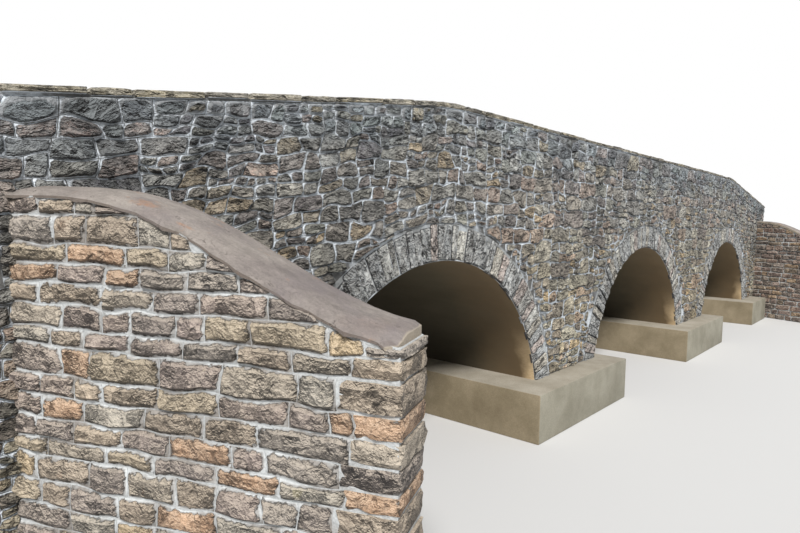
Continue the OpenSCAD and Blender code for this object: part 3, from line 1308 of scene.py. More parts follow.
# %% [markdown]
# ## Effects that several materials share
# Four effects come back in several materials, so each is a node group. Grain gives the surface of
# split stone: chipped facets, which are cells that slant at random, layers, ridges and fine grit.
# Its height is in metres, and it is drawn along the stone's own bedding. Patches is a soft-edged
# mask for lichen, rust and worn pointing. Streaks is a mask of dark runs down a wall. Joint is a
# ragged mask of the mortar that lies in the joints and over the stones' rims.

# %% The grain of split stone
MIDDLE_GREY = (0.5, 0.5, 0.5)
CHIPS_PER_METRE = 8.0
BEND = 0.22
graph, source, result = new_group(
    "Stone grain",
    [("Vector", "Vector", None), ("Shift", "Float", 0.0), ("Layers", "Float", 2.0)],
    ["Height", "Grain", "Ridge", "Blotch", "Facet"])
shift = graph.add("CombineXYZ", {"X": source["Shift"], "Z": source["Shift"]}).outputs[0]
moved = graph.vector("ADD", source["Vector"], shift)
squash = graph.add("CombineXYZ", {"X": 1.0, "Y": 1.0, "Z": source["Layers"]}).outputs[0]
layered = graph.vector("MULTIPLY", moved, squash)
wander = graph.add("TexNoise", {"Vector": layered, "Scale": 6.0, "Detail": 3.0}).outputs["Color"]
wander = graph.vector("SUBTRACT", wander, MIDDLE_GREY)
bent = graph.vector("ADD", layered, graph.vector("MULTIPLY", wander, (BEND, BEND, BEND)))
chips = graph.add("TexVoronoi", {"Vector": bent, "Scale": CHIPS_PER_METRE}).outputs
offset = graph.vector("SUBTRACT", bent, chips["Position"])
slant = graph.vector("SUBTRACT", chips["Color"], MIDDLE_GREY)
facet = graph.add("VectorMath", {0: offset, 1: slant}, operation="DOT_PRODUCT").outputs["Value"]
coarse = graph.noise(layered, 4.4, 4.0, 0.6)
middle = graph.noise(bent, 11.0, 3.0, 0.6)
fine = graph.noise(moved, 38.0, 4.0, 0.7)
coarse_ridge = graph.remap(graph.off(coarse, 0.5), 0.0, 0.07, 1.0, 0.0)
middle_ridge = graph.remap(graph.off(middle, 0.5), 0.0, 0.08, 1.0, 0.0)
outputs = {
    "Height": graph.weigh((facet, 0.9), (coarse, 0.05), (coarse_ridge, 0.012),
                          (middle_ridge, 0.008), (middle, 0.045), (fine, 0.018)),
    "Grain": graph.weigh((coarse, 0.5), (middle, 0.35), (fine, 0.15)),
    "Ridge": graph.math("MAXIMUM", graph.remap(coarse_ridge, 0.35, 0.85),
                        graph.remap(middle_ridge, 0.7, 1.1)),
    "Blotch": graph.noise(moved, 3.1, 2.0, 0.5),
    # A random value for each chip, which the stone material uses to paint the chip lighter or
    # darker as if lit at its own angle.
    "Facet": graph.add("SeparateColor", {"Color": chips["Color"]}).outputs["Red"]}
for name, socket in outputs.items():
    graph.link(socket, result[name])
STONE_GRAIN = graph.tree
print("the grain takes", len(STONE_GRAIN.nodes), "nodes")

# %% Patches, streaks and joints
graph, source, result = new_group(
    "Patches",
    [("Vector", "Vector", None), ("Scale", "Float", 2.0), ("Cover", "Float", 0.3),
     ("Softness", "Float", 0.1)],
    ["Mask"])
spread = graph.noise(source["Vector"], source["Scale"], 5.0, 0.62)
level = graph.math("SUBTRACT", 0.72, graph.product(source["Cover"], 0.44))
above = graph.math("SUBTRACT", spread, level)
graph.link(graph.math("DIVIDE", above, source["Softness"], clamp=True), result["Mask"])
PATCHES = graph.tree

graph, source, result = new_group(
    "Rain streaks",
    [("Vector", "Vector", None), ("Amount", "Float", 0.5)],
    ["Mask"])
DOWN_THE_WALL = (2.4, 2.4, 0.22)
runs = graph.noise(graph.stretch(source["Vector"], DOWN_THE_WALL), 1.6, 4.0, 0.6)
broad = graph.noise(source["Vector"], 0.55, 2.0, 0.5)
strong = graph.remap(graph.weigh((runs, 0.65), (broad, 0.35)), 0.44, 0.62)
graph.link(graph.math("MULTIPLY", strong, source["Amount"], clamp=True), result["Mask"])
STREAKS = graph.tree

graph, source, result = new_group(
    "Mortar joint",
    [("Vector", "Vector", None), ("Rim", "Float", 0.0), ("Level", "Float", 0.8),
     ("Ragged", "Float", 0.7)],
    ["Mask"])
EDGE_SHARPNESS = 9.0
wander = graph.math("SUBTRACT", graph.noise(source["Vector"], 13.0, 4.0, 0.65), 0.5)
where = graph.math("ADD", source["Rim"], graph.product(wander, source["Ragged"]))
past = graph.math("SUBTRACT", where, source["Level"])
graph.link(graph.math("MULTIPLY", past, EDGE_SHARPNESS, clamp=True), result["Mask"])
MORTAR_JOINT = graph.tree
print("groups", [tree.name for tree in bpy.data.node_groups])

# %% [markdown]
# ## A material's start
# Every material here is rough and has no shine, so all the work is in its colour and its bump.
# It starts with the Principled shader and the Object coordinates, which stay in metres, because
# all the pieces sit at the origin.

# %% Materials


class Material(Graph):
    """A material with its Principled shader, object coordinates, and the stones' attributes."""

    def __init__(self, name, roughness):
        self.made = bpy.data.materials.new(name)
        self.made.use_nodes = True
        super().__init__(self.made.node_tree)
        self.shader = self.tree.nodes["Principled BSDF"]
        self.shader.inputs["Roughness"].default_value = roughness
        self.place = self.add("TexCoord").outputs["Object"]

    def attribute(self, name, output):
        return self.add("Attribute", attribute_name=name).outputs[output]

    def patches(self, scale, cover, softness, vector=None):
        """A mask of soft-edged patches."""
        return self.group(PATCHES, {"Vector": vector or self.place, "Scale": scale,
                                    "Cover": cover, "Softness": softness})["Mask"]

    def streaks(self, amount):
        return self.group(STREAKS, {"Vector": self.place, "Amount": amount})["Mask"]

    def pointed(self, cover):
        """Where the joints were pointed with pale mortar."""
        return self.patches(1.3, cover, 0.12)

    def finish(self, colour, height, distance):
        """Join the colour and the bump to the shader, and hand the material over."""
        bump = self.add("Bump", {"Height": height, "Distance": distance}).outputs["Normal"]
        self.link(bump, self.shader.inputs["Normal"])
        self.link(colour, self.shader.inputs["Base Color"])
        return self.made


# %% [markdown]
# ## Stone and mortar
# The rubble is a mix of greys and browns, with a few stones in mauve, ochre or green. The tone
# attribute picks a colour for each stone from a stepped ramp and shades it, and each chip of a
# face is painted a little lighter or darker, as if it faced the light at its own angle. Its grain
# runs from dark pits, painted shade in the hollows, to pale crests, painted highlights with some
# mortar and dust on them, and a crest keeps some of its stone's own colour. What looks up is
# painted pale, partly dust and partly a highlight as if lit from above, and what looks down is
# painted dark as shade, which the bumped normal tells. The rims of the stones get painted shade
# too, most where they look down. The mortar lies along the joints. It is nearly white with a cold
# cast where it was pointed, and dark and narrow where it has weathered back. The walls are
# weathered by height as well: just under the coping the mortar covers more of the stones and
# everything has a bluish bloom, and low down the stones are washed pale and warm. Beside the rings
# the mortar is smeared wider. The ends of the bridge are painted darker, partly with dampness and
# partly as shade, and the left end most of all.

# %% Colours of stone and mortar
RUBBLE_COLOURS = [
    srgb(123, 120, 115), srgb(139, 134, 123), srgb(90, 87, 90), srgb(154, 151, 143),
    srgb(123, 109, 103), srgb(131, 132, 129), srgb(145, 133, 113), srgb(103, 103, 104),
    srgb(141, 117, 105), srgb(121, 124, 117), srgb(101, 90, 92), srgb(148, 149, 147),
    srgb(157, 134, 99), srgb(130, 122, 112), srgb(88, 81, 86), srgb(149, 127, 115),
    srgb(112, 113, 111), srgb(134, 127, 121)]
VOUSSOIR_COLOURS = [
    srgb(158, 161, 163), srgb(138, 142, 145), srgb(176, 174, 166), srgb(126, 130, 134),
    srgb(150, 150, 147), srgb(164, 158, 146), srgb(160, 144, 138), srgb(144, 147, 149)]
BUFF_COLOURS = [
    srgb(150, 136, 120), srgb(138, 125, 118), srgb(168, 148, 118), srgb(132, 121, 116),
    srgb(148, 139, 127), srgb(168, 136, 110), srgb(129, 120, 116), srgb(151, 146, 137),
    srgb(144, 131, 117), srgb(140, 127, 122), srgb(156, 143, 123), srgb(136, 129, 123)]
MAUVE_COLOURS = [
    srgb(142, 120, 110), srgb(126, 108, 103), srgb(148, 131, 114), srgb(118, 106, 101),
    srgb(156, 130, 104), srgb(134, 122, 116), srgb(128, 103, 93)]
FLAG_COLOURS = [
    srgb(118, 110, 90), srgb(110, 103, 88), srgb(102, 97, 85), srgb(126, 116, 92),
    srgb(98, 92, 82)]
MORTAR_PALE = srgb(224, 231, 238)
MORTAR_DARK = srgb(104, 104, 103)
LIME_PALE = srgb(198, 201, 202)
LIME_DARK = srgb(146, 141, 136)
# Crest colours: painted highlights on the stones' ridges, with some mortar and dust in them.
CREST_HIGHLIGHT_AND_DUST_PALE = srgb(236, 232, 222)
CREST_HIGHLIGHT_AND_DUST_COOL = srgb(218, 222, 222)
CREST_HIGHLIGHT_AND_DUST_WARM = srgb(202, 190, 172)
# Pale colour for what looks up: partly dust, partly a painted highlight as if lit from above.
DUST_AND_HIGHLIGHT = srgb(222, 218, 208)
LICHEN = srgb(150, 142, 92)
RUST = srgb(138, 100, 70)
# Near black: soot in the rain streaks, and the colour of the painted shade in pits, under stones,
# at their rims and at the ends of the bridge.
SOOT_AND_SHADE = srgb(38, 36, 35)
BLOOM = (0.86, 0.98, 1.12, 1.0)
WASHED = (1.24, 1.17, 1.0, 1.0)
print(len(RUBBLE_COLOURS), "colours of rubble")

# %% [markdown]
# Each step of the stone's material is a range: between two values of the grain, of the height or
# of the slope, something fades in. The ranges stand together here, so that they can be tuned
# without reading the graph.

# %% Where each finish fades in
MOTTLE_SPAN = (0.41, 0.59)
# High grain gets a painted highlight and low grain, the pits, a painted shade.
CREST_HIGHLIGHT_SPAN = (0.525, 0.575)
SHADED_PIT_SPAN = (0.475, 0.42)
BLOTCH_SPAN = (0.35, 0.65, 0.75, 1.25)
RIDGED_WHERE = (0.32, 0.5)
# How much brighter than its stone a painted highlight is.
HIGHLIGHT_LIFT = 2.6
OWN_SHARE = 0.4
RUST_PATCH = (4.2, 0.12, 0.5)
LICHEN_PATCH = (5.3, 0.06, 0.45)
# Where faces that look up are painted pale, with dust and a painted highlight.
HIGHLIGHT_AND_DUST_ON_FACE = (0.48, 0.88, 0.0, 0.75)
HIGHLIGHT_AND_DUST_ON_TOP = (0.65, 0.95, 0.0, 0.7)
# Where faces that look down are painted dark as shade.
UNDERSIDE_SHADE_SPAN = (0.20, -0.15)
# Painted shade at the rims of the stones, strongest where they look down.
RIM_SHADE_SPAN = (1.0, 1.4)
RIM_SHADE_BELOW = (0.25, -0.15, 0.1, 0.85)
CLOUDS = (0.38, 0.62, 0.72, 1.26)
BLOOM_FALL = (1.75, 0.95)
WASHED_FALL = (2.2, 3.8)
BUTTERED_FALL = (0.58, 0.36, 0.0, 0.8)
SMEARED_WHERE = (0.35, 0.6, 0.1, 0.6)
# The ends are painted darker, partly with dampness and partly as shade, from these places on.
END_SHADE_MIDDLE = 2.5
END_SHADE_AND_DAMP_SPAN = (11.0, 17.0, 0.0, 0.30)
WEATHERED_BACK = 0.08
MORTAR_CORE = (0.79, 0.93, 0.3, 1.0)
MORTAR_GRIT = (0.38, 0.62, 0.72, 1.18)
MORTAR_RAISED = 0.010
print("damp starts", END_SHADE_AND_DAMP_SPAN[0], "m from x =", END_SHADE_MIDDLE)


# %% The material of stone
def weather(material, colour, level):
    """Clouds, bloom and washing over a wall, ends painted darker with dampness and shade, and more
    mortar high up and by the rings.
    """
    fall = material.attribute("fall", "Fac")
    patchy = material.noise(material.place, 1.1, 3.0, 0.6)
    colour = material.shade(colour, material.remap(patchy, *CLOUDS))
    ragged_fall = material.weigh((fall, 1.0), (patchy, 1.4))
    colour = material.mix(material.remap(ragged_fall, *BLOOM_FALL), colour, BLOOM, "MULTIPLY")
    colour = material.mix(material.remap(ragged_fall, *WASHED_FALL), colour, WASHED, "MULTIPLY")
    # The ends are painted darker, partly with dampness and partly as shade.
    from_middle = material.off(material.xyz(material.place)["X"], END_SHADE_MIDDLE)
    end_shade_and_damp = material.remap(material.weigh((from_middle, 1.0), (patchy, 3.0)), *END_SHADE_AND_DAMP_SPAN)
    colour = material.mix(end_shade_and_damp, colour, SOOT_AND_SHADE)
    buttered = material.remap(material.weigh((fall, 1.0), (patchy, 0.6)), *BUTTERED_FALL)
    smeared = material.product(material.attribute("beside", "Fac"),
                               material.remap(patchy, *SMEARED_WHERE))
    covered = material.math("MAXIMUM", buttered, smeared)
    return colour, material.math("SUBTRACT", level, covered)


def stone_material(name, colours, layers=2.0, streaks=0.3, joint=0.76, ragged=0.95, bump=3.0,
                   lichen=0.08, rust=0.1, ridges=0.8, pale=MORTAR_PALE, dark=MORTAR_DARK,
                   crest_highlight_and_dust=CREST_HIGHLIGHT_AND_DUST_PALE, dust_and_highlight=DUST_AND_HIGHLIGHT, pointed=0.86, mottle=(0.12, 2.4),
                   shade=(0.45, 2.05), chips=1.6, underside_shade=0.9, weathered=False, topped=False):
    """Split stone in several colours, stained, and with mortar over its rims."""
    material = Material(name, roughness=0.92)
    tone = material.add("SeparateColor", {"Color": material.attribute("tone", "Color")}).outputs
    grain = material.group(STONE_GRAIN, {
        "Vector": material.attribute("grain", "Vector"),
        "Shift": material.product(tone["Blue"], 40.0), "Layers": layers})
    colour = material.ramp(tone["Red"], colours)
    # A brighter copy of the stone's colour, which the painted highlights keep some of.
    own = material.shade(colour, HIGHLIGHT_LIFT)
    crest_highlight_and_dust = material.mix(OWN_SHARE, crest_highlight_and_dust, own)
    dust_and_highlight = material.mix(OWN_SHARE, dust_and_highlight, own)
    # Per-stone shade, mottle and blotches, and chips, which paints each chip lighter or darker as
    # if it faced the light at its own angle.
    colour = material.shade(colour, material.product(
        material.remap(tone["Green"], 0.0, 1.0, *shade),
        material.remap(grain["Grain"], *MOTTLE_SPAN, *mottle),
        material.remap(grain["Blotch"], *BLOTCH_SPAN),
        material.remap(grain["Facet"], 0.0, 1.0, 2 - chips, chips)))
    for stain, cover, (scale, softness, strength) in (
            (RUST, rust, RUST_PATCH), (LICHEN, lichen, LICHEN_PATCH)):
        colour = material.tint(colour, stain, material.patches(scale, cover, softness), strength)
    # Painted highlights on the crests and ridges, and painted shade in the pits.
    colour = material.mix(material.remap(grain["Grain"], *CREST_HIGHLIGHT_SPAN, 0.0, ridges), colour, crest_highlight_and_dust)
    colour = material.mix(material.remap(grain["Grain"], *SHADED_PIT_SPAN, 0.0, ridges), colour, SOOT_AND_SHADE)
    edge = material.product(grain["Ridge"], material.remap(grain["Blotch"], *RIDGED_WHERE))
    colour = material.tint(colour, crest_highlight_and_dust, edge, ridges)

    relief = material.add("Bump", {"Height": grain["Height"], "Distance": bump}).outputs["Normal"]
    upward = material.xyz(relief)["Z"]
    facing_up = material.weigh((upward, 1.0), (grain["Grain"], 0.6))
    # What looks up is painted pale: partly dust, partly a painted highlight as if lit from above.
    lit_and_dusty = material.remap(facing_up, *(HIGHLIGHT_AND_DUST_ON_TOP if topped else HIGHLIGHT_AND_DUST_ON_FACE))
    colour = material.mix(lit_and_dusty, colour, dust_and_highlight)
    # What looks down is painted dark as shade.
    colour = material.mix(material.remap(facing_up, *UNDERSIDE_SHADE_SPAN, 0.0, underside_shade), colour, SOOT_AND_SHADE)
    colour = material.mix(material.streaks(streaks), colour, SOOT_AND_SHADE)

    laid = material.pointed(pointed)
    level = material.remap(laid, 0.0, 1.0, joint + WEATHERED_BACK, joint)
    if weathered:
        colour, level = weather(material, colour, level)
    rim = material.attribute("rim", "Fac")
    # Painted shade at the rims of the stones, strongest where they look down.
    rim_shade = material.remap(material.weigh((rim, 1.0), (grain["Grain"], 1.0)), *RIM_SHADE_SPAN)
    colour = material.tint(colour, SOOT_AND_SHADE, rim_shade, material.remap(upward, *RIM_SHADE_BELOW))
    mask = material.group(MORTAR_JOINT, {"Vector": material.place, "Rim": rim, "Level": level,
                                         "Ragged": ragged})["Mask"]
    mortar = material.tint(dark, pale, laid, material.remap(rim, *MORTAR_CORE))
    mortar = material.shade(mortar, material.remap(grain["Grain"], *MORTAR_GRIT))
    rough = material.product(grain["Height"], material.remap(mask, 0.0, 1.0, 1.0, 0.3))
    raised = material.product(mask, laid, MORTAR_RAISED)
    return material.finish(material.mix(mask, colour, mortar),
                           material.math("ADD", rough, raised), bump)


def mortar_material(name, pale=MORTAR_PALE, dark=MORTAR_DARK, streaks=0.3, pointed=0.5):
    """The mortar that stones lie in, pale where it was pointed."""
    material = Material(name, roughness=0.95)
    colour = material.mix(material.pointed(pointed), dark, pale)
    rough = material.noise(material.place, 26.0, 5.0, 0.7)
    colour = material.shade(colour, material.remap(rough, 0.3, 0.7, 0.75, 1.2))
    colour = material.mix(material.streaks(streaks), colour, SOOT_AND_SHADE)
    return material.finish(colour, rough, 0.02)


# %% [markdown]
# The same material, tuned, gives all the masonry. The voussoirs are greyer and less layered, with
# dark open joints that set one apart from the next. The squared stones of the wings are duller and
# warmer, in smeared lime. The flagstones are thin layers, furred with lichen, and dust and a
# painted highlight lie on them only where they are flat.

# %% Stone and mortar for each kind of masonry
RUBBLE = stone_material("Rubble stone", RUBBLE_COLOURS, ridges=1.0, weathered=True)
EDGE_STONE = stone_material(
    "Voussoir stone", VOUSSOIR_COLOURS, layers=1.4, streaks=0.15, joint=0.64, ragged=0.6,
    bump=2.2, rust=0.02, pointed=0.3, mottle=(0.22, 1.9), shade=(0.34, 1.45), chips=1.2,
    crest_highlight_and_dust=CREST_HIGHLIGHT_AND_DUST_COOL, dark=srgb(66, 66, 68))
SQUARED = {
    "streaks": 0.2, "bump": 0.8, "ridges": 0.2, "mottle": (0.7, 1.3), "shade": (0.45, 0.96),
    "chips": 1.4, "layers": 1.0, "crest_highlight_and_dust": CREST_HIGHLIGHT_AND_DUST_WARM, "dust_and_highlight": CREST_HIGHLIGHT_AND_DUST_WARM, "underside_shade": 0.4,
    "pale": LIME_PALE, "dark": LIME_DARK, "pointed": 0.6, "joint": 0.72, "ragged": 1.6}
SQUARED_BUFF = stone_material("Buff squared stone", BUFF_COLOURS, rust=0.14, **SQUARED)
SQUARED_MAUVE = stone_material("Mauve squared stone", MAUVE_COLOURS, rust=0.12, **SQUARED)
FLAGSTONE = stone_material(
    "Flagstone", FLAG_COLOURS, layers=3.0, streaks=0.1, joint=0.7, bump=1.0, lichen=0.2,
    ridges=0.3, mottle=(0.4, 1.8), shade=(0.7, 1.6), underside_shade=0.6, topped=True)
WALL_MORTAR = mortar_material("Wall mortar")
RING_MORTAR = mortar_material("Ring mortar", srgb(190, 196, 200), srgb(140, 142, 142), 0.2, 0.6)
LIME_MORTAR = mortar_material("Lime mortar", LIME_PALE, LIME_DARK, 0.15, 0.8)
CORE = mortar_material("Core masonry", srgb(140, 130, 116), srgb(100, 92, 82))
print("a stone's material takes", len(RUBBLE.node_tree.nodes), "nodes, and mortar takes",
      len(WALL_MORTAR.node_tree.nodes))

# %% [markdown]
# ## Concrete, caps and asphalt
# The footings are smooth concrete in three copies, for their tops, fronts and sides: pale and warm
# on top, greyer in front and darker and browner on the sides, partly the concrete's own colour and
# partly painted light and shade. The barrels are cast concrete too, dark inside and darker low
# down, painted lighter and browner towards the mouths as light reaches in, and with a painted pool
# of light at the foot of the mouths. The caps are trowelled mortar with long soft streaks and
# rusty mottles, which follow the sweep, so they use each cap's own run instead of the world's, and
# their sides are painted darker, partly with wear and partly as shade.

# %% Concrete and asphalt


def concrete_colour(material, pale, dark, stain, cover, place=None, grit=0.16):
    """Cloudy concrete with soft stains and fine specks, and the specks on their own."""
    place = place or material.place
    cloud = material.noise(place, 1.3, 5.0, 0.6)
    colour = material.mix(material.remap(cloud, 0.35, 0.65), dark, pale)
    colour = material.tint(colour, stain, material.patches(0.9, cover, 0.25, place), 0.6)
    speck = material.noise(place, 48.0, 4.0, 0.7)
    return material.shade(colour, material.remap(speck, 0.3, 0.7, 1 - grit, 1 + grit)), speck


def concrete_material(name, pale, dark, stain, cover, bump=0.004):
    material = Material(name, roughness=0.85)
    colour, speck = concrete_colour(material, pale, dark, stain, cover)
    return material.finish(colour, speck, bump)


# Three copies of one concrete, partly its own colour and partly painted light and shade: the lit
# top, the front in middling light and the shaded side.
FOOTING_TOP_TONE_AND_LIGHT = concrete_material("Footing top", srgb(166, 159, 146), srgb(142, 135, 121),
                                srgb(126, 113, 90), 0.3)
FOOTING_FRONT_TONE_AND_LIGHT = concrete_material("Footing front", srgb(152, 148, 134), srgb(128, 124, 110),
                                  srgb(108, 101, 84), 0.35)
FOOTING_SIDE_TONE_AND_SHADE = concrete_material("Footing side", srgb(140, 128, 106), srgb(116, 105, 84),
                                 srgb(94, 83, 64), 0.4)
ASPHALT = concrete_material("Asphalt", srgb(106, 105, 104), srgb(94, 94, 95), srgb(80, 79, 77),
                            0.3, 0.012)
print("concrete takes", len(FOOTING_TOP_TONE_AND_LIGHT.node_tree.nodes), "nodes")

# %% The lining of the barrels
BARREL_COLOURS = (srgb(100, 92, 74), srgb(90, 82, 64), srgb(84, 74, 56))
# A lighter brown towards the mouths: a brown cast and painted light reaching in.
LIT_BROWN = srgb(116, 96, 70)
# A painted pool of light at the foot of the mouths.
MOUTH_LIGHT_COLOURS = (srgb(196, 172, 136), srgb(222, 198, 160))
MOUTH = (0.58, 0.28)
BROWNED_AND_LIT_SPAN = (2.0, 0.6, 0.0, 0.7)
DARKER_LOW_RISE = (2.4, 0.5, 1.0, 0.5)
MOUTH_LIGHT_RISE = (1.05, 0.2, 0.05, 1.0)


def barrel_material():
    """Concrete that is dark inside and darker low down, painted lighter and browner towards the
    mouths, with a painted pool of light at their foot.
    """
    material = Material("Barrel concrete", roughness=0.85)
    streaky = material.stretch(material.place, (1.0, 0.35, 1.6))
    colour, speck = concrete_colour(material, *BARREL_COLOURS, 0.35, streaky, 0.06)
    parts = material.xyz(material.place)
    wander = material.noise(material.place, 2.2, 3.0, 0.5)
    depth = material.math("SUBTRACT", half_width, material.math("ABSOLUTE", parts["Y"]))
    above = material.math("SUBTRACT", parts["Z"], footing_top)
    # Darker low down.
    colour = material.shade(colour, material.remap(above, *DARKER_LOW_RISE))
    browned_and_lit = material.remap(material.weigh((depth, 1.0), (wander, 0.8)), *BROWNED_AND_LIT_SPAN)
    # Lighter and browner towards the mouths: a brown cast and painted light.
    colour = material.mix(browned_and_lit, colour, LIT_BROWN)
    mouth = material.remap(material.weigh((depth, 1.0), (wander, 0.5)), *MOUTH)
    mouth_light = material.mix(material.remap(speck, 0.35, 0.65), *MOUTH_LIGHT_COLOURS)
    # The painted pool of light at the foot of each mouth.
    colour = material.tint(colour, mouth_light, mouth, material.remap(above, *MOUTH_LIGHT_RISE))
    return material.finish(colour, speck, 0.004)


BARREL = barrel_material()
print("the barrels' concrete takes", len(BARREL.node_tree.nodes), "nodes")

# %% The trowelled caps
CAP_COLOURS = (srgb(156, 148, 141), srgb(130, 122, 118), srgb(140, 120, 106))
# The darker colour of the cap's sides, partly wear and partly painted shade.
CAP_SIDE_WEAR_AND_SHADE = srgb(98, 88, 80)
CAP_SLATE = srgb(122, 114, 116)
CAP_RUST = srgb(172, 122, 84)
CAP_WORN = srgb(190, 178, 158)
CAP_CRACK = srgb(70, 62, 56)


def cap_material():
    """Trowelled mortar, streaked along the sweep, with sides painted darker as wear and shade,
    rusty, worn at its edges and cracked.
    """
    material = Material("Cap mortar", roughness=0.9)
    run = material.attribute("run", "Vector")
    colour, speck = concrete_colour(material, *CAP_COLOURS, 0.35, run)
    streak = material.noise(material.stretch(run, (1.1, 2.2, 1.0)), 4.2, 6.0, 0.7)
    colour = material.shade(colour, material.remap(streak, 0.35, 0.65, 0.78, 1.2))
    # Faces that don't look up are painted darker, partly wear and partly shade.
    upward = material.xyz(material.add("NewGeometry").outputs["Normal"])["Z"]
    upright = material.remap(material.weigh((upward, 1.0), (streak, 0.5)), 1.0, 0.6)
    colour = material.tint(colour, CAP_SIDE_WEAR_AND_SHADE, upright, 0.75)
    colour = material.tint(colour, CAP_SLATE, material.patches(1.7, 0.45, 0.2, run), 0.6)
    rusty = material.patches(3.4, 0.26, 0.1, material.stretch(run, (0.8, 1.4, 1.0)))
    colour = material.tint(colour, CAP_RUST, rusty, 0.55)
    wander = material.noise(run, 6.0, 4.0, 0.6)
    rim = material.attribute("rim", "Fac")
    worn = material.remap(material.weigh((rim, 1.0), (wander, 0.8)), 1.15, 1.4)
    colour = material.tint(colour, CAP_WORN, worn, 0.6)
    crack = material.noise(material.stretch(run, (1.0, 1.8, 1.0)), 2.6, 5.0, 0.6)
    crack = material.remap(material.off(crack, 0.5), 0.0, 0.006, 1.0, 0.0)
    broken = material.product(crack, material.remap(streak, 0.5, 0.6))
    colour = material.tint(colour, CAP_CRACK, broken, 0.7)
    height = material.weigh((speck, 0.012), (streak, 0.02), (broken, -0.006))
    return material.finish(colour, height, 1.0)


CAP = cap_material()
print("materials", [material.name for material in bpy.data.materials])

# %% [markdown]
# ## Building the pieces
# All the stones of one solid and their mortar become one piece, with two materials. A ring has a
# third, the barrel's, where its mortar shows inside the arch. Each point also keeps attributes
# for the materials: tone, the four chances drawn for its stone; grain, its place along and across
# the stone's bedding; rim, which is one in the mortar and falls to zero on the stone's face; fall,
# its depth below the top of the coping; and beside, how close it is to a ring.

# %% Build the pieces
SMOOTH_BELOW = math.radians(22)
SMEARED = 0.55
SOFFIT = 0.02


def dress(piece, node, materials):
    """Put materials on a piece, let it ride, and have it stand for its solid."""
    piece.data.materials.clear()
    for material in materials:
        piece.data.materials.append(material)
    activate(piece)
    bpy.ops.object.shade_smooth_by_angle(angle=SMOOTH_BELOW)
    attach(piece, "root")
    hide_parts(node)


def by_ring(points):
    """How close points are to a ring: one at its outer edge, and zero past the smeared mortar."""
    from_arch = np.min([np.hypot(points[:, 0] - centre, points[:, 2] - spring_z)
                        for centre in ARCHES.values()], axis=0)
    return np.clip(1 - (from_arch - ring_outer) / SMEARED, 0, 1)


def build_wall(node, materials):
    """Turn the gathered stones and mortar of a node into one piece."""
    wall = walls[node]
    points = np.concatenate(wall.points)
    piece = new_piece(node + "_stones", bpy.data.meshes.new(node + "_stones"))
    mesh = piece.data
    mesh.from_pydata(points.tolist(), [], wall.faces)
    keep(mesh, "rim", "FLOAT", np.concatenate(wall.rims))
    keep(mesh, "tone", "FLOAT_COLOR", np.concatenate(wall.tones))
    keep(mesh, "grain", "FLOAT_VECTOR", np.concatenate(wall.grains))
    keep(mesh, "fall", "FLOAT", crest(points[:, 0]) - points[:, 2])
    keep(mesh, "beside", "FLOAT", by_ring(points))
    dress(piece, node, materials)
    kinds = np.zeros(len(wall.faces), int)
    kinds[wall.mortar_from:] = 1
    if len(materials) > 2:
        middles = np.array([face.center for face in mesh.polygons])
        centre = ARCHES[node.split("_")[0]]
        radius = np.hypot(middles[:, 0] - centre, middles[:, 2] - spring_z)
        kinds[(kinds == 1) & (radius < ring_inner + SOFFIT)] = 2
    mesh.polygons.foreach_set("material_index", kinds)
    mesh.update()


# The first entry whose part is found in a solid's name decides its materials.
MASONRY = [
    ("_ring_", [EDGE_STONE, RING_MORTAR, BARREL]), ("left_wing_", [SQUARED_BUFF, LIME_MORTAR]),
    ("right_wing_", [SQUARED_MAUVE, LIME_MORTAR]), ("coping_", [FLAGSTONE, WALL_MORTAR]),
    ("", [RUBBLE, WALL_MORTAR])]
for node in walls:
    build_wall(node, next(materials for part, materials in MASONRY if part in node))
for arch_name, barrel in barrels.items():
    dress(barrel, f"{arch_name}_barrel", [BARREL])
for node, footing in footings.items():
    dress(footing, node, [FOOTING_TOP_TONE_AND_LIGHT, FOOTING_FRONT_TONE_AND_LIGHT, FOOTING_SIDE_TONE_AND_SHADE])
    # Each face takes the copy for its direction, so the painted light and shade follow the faces.
    normals = np.array([face.normal for face in footing.data.polygons])
    facing = np.abs(normals).argmax(1)
    footing.data.polygons.foreach_set("material_index", np.array([2, 1, 0])[facing])
    footing.data.update()
for node, cap in caps.items():
    dress(cap, node, [CAP])
for node, material in (("road", ASPHALT), ("left_pier", CORE), ("right_pier", CORE)):
    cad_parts[node].data.materials.clear()
    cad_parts[node].data.materials.append(material)
triangles = {piece.name: sum(len(face.vertices) - 2 for face in piece.data.polygons)
             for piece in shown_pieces()}
print("pieces", len(triangles), "triangles", sum(triangles.values()),
      "largest", max(triangles, key=triangles.get), max(triangles.values()))

# %% [markdown]
# ## Floor, light and camera
# The bridge stands on a plain pale floor. A broad, soft sun stands high behind the viewer, and an
# even world lights the shadows. The camera stands where the photograph was taken: beyond the left
# end of the bridge, a little under four metres up, and turned along the upstream face.

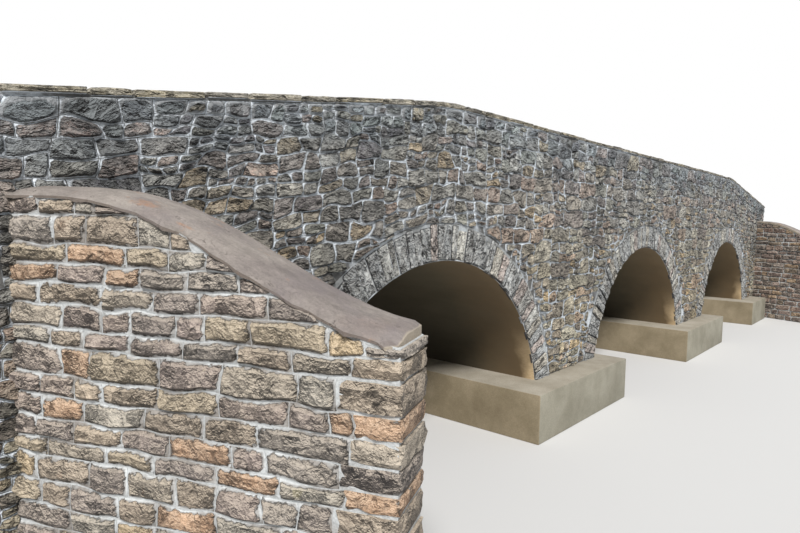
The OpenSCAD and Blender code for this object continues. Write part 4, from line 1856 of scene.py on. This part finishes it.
# %% Stage and light
FLOOR_SIZE = 900.0
FLOOR_WHITE = 0.66
WORLD_LIGHT = 0.42
bpy.ops.mesh.primitive_plane_add(size=FLOOR_SIZE, location=(0, 0, 0))
floor = bpy.context.object
floor.name = "floor"
floor_paint = Material("Floor", roughness=1.0)
floor_paint.shader.inputs["Base Color"].default_value = (FLOOR_WHITE, FLOOR_WHITE, FLOOR_WHITE, 1)
floor.data.materials.append(floor_paint.made)
floor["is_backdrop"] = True

world = bpy.data.worlds.new("Studio")
bpy.context.scene.world = world
world.use_nodes = True
sky = Graph(world.node_tree)
even = sky.fill(world.node_tree.nodes["Background"],
                {"Color": (0.94, 0.97, 1.0, 1), "Strength": WORLD_LIGHT})
white = sky.add("Background", {"Color": (1, 1, 1, 1), "Strength": 1.0})
rays = sky.add("LightPath").outputs
seen = sky.math("MAXIMUM", rays["Is Camera Ray"], rays["Is Glossy Ray"])
seen = sky.math("MAXIMUM", seen, rays["Is Transmission Ray"])
shown = sky.add("MixShader", {0: seen, 1: even.outputs[0], 2: white.outputs[0]})
sky.link(shown.outputs[0], world.node_tree.nodes["World Output"].inputs["Surface"])

SUN_TURN = (math.radians(46), 0, math.radians(-49))
bpy.ops.object.light_add(type="SUN", rotation=SUN_TURN)
lamp = bpy.context.object.data
lamp.energy = 3.8
lamp.angle = math.radians(14)
lamp.color = (1.0, 0.98, 0.95)
print("sun of strength", round(lamp.energy, 2), "and world of", WORLD_LIGHT)

# %% Camera
EYE = (-16.18, -9.0, 3.953)
HEADING = math.radians(48.94)
DIP = math.radians(4.40)
ROLL = math.radians(0.95)
LENS = 26.86
FARTHEST = 2000.0
LEVEL = math.radians(90)
aim = (Euler((0, 0, -HEADING)).to_matrix() @ Euler((LEVEL - DIP, 0, 0)).to_matrix()
       @ Euler((0, 0, ROLL)).to_matrix())
bpy.ops.object.camera_add(location=EYE, rotation=aim.to_euler())
camera = bpy.context.object
camera.data.lens = LENS
camera.data.sensor_width = 36.0
camera.data.clip_end = FARTHEST
bpy.context.scene.camera = camera
bpy.context.scene.view_settings.view_transform = "Standard"
print("camera", EYE[2], "m up, with a lens of", LENS, "mm")

# %% [markdown]
# ## Sizes
# The last cell prints the size of the finished bridge's box.

# %% Print the size of the bridge
low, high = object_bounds()
print("bridge", [round(v, 3) for v in high - low], "m")
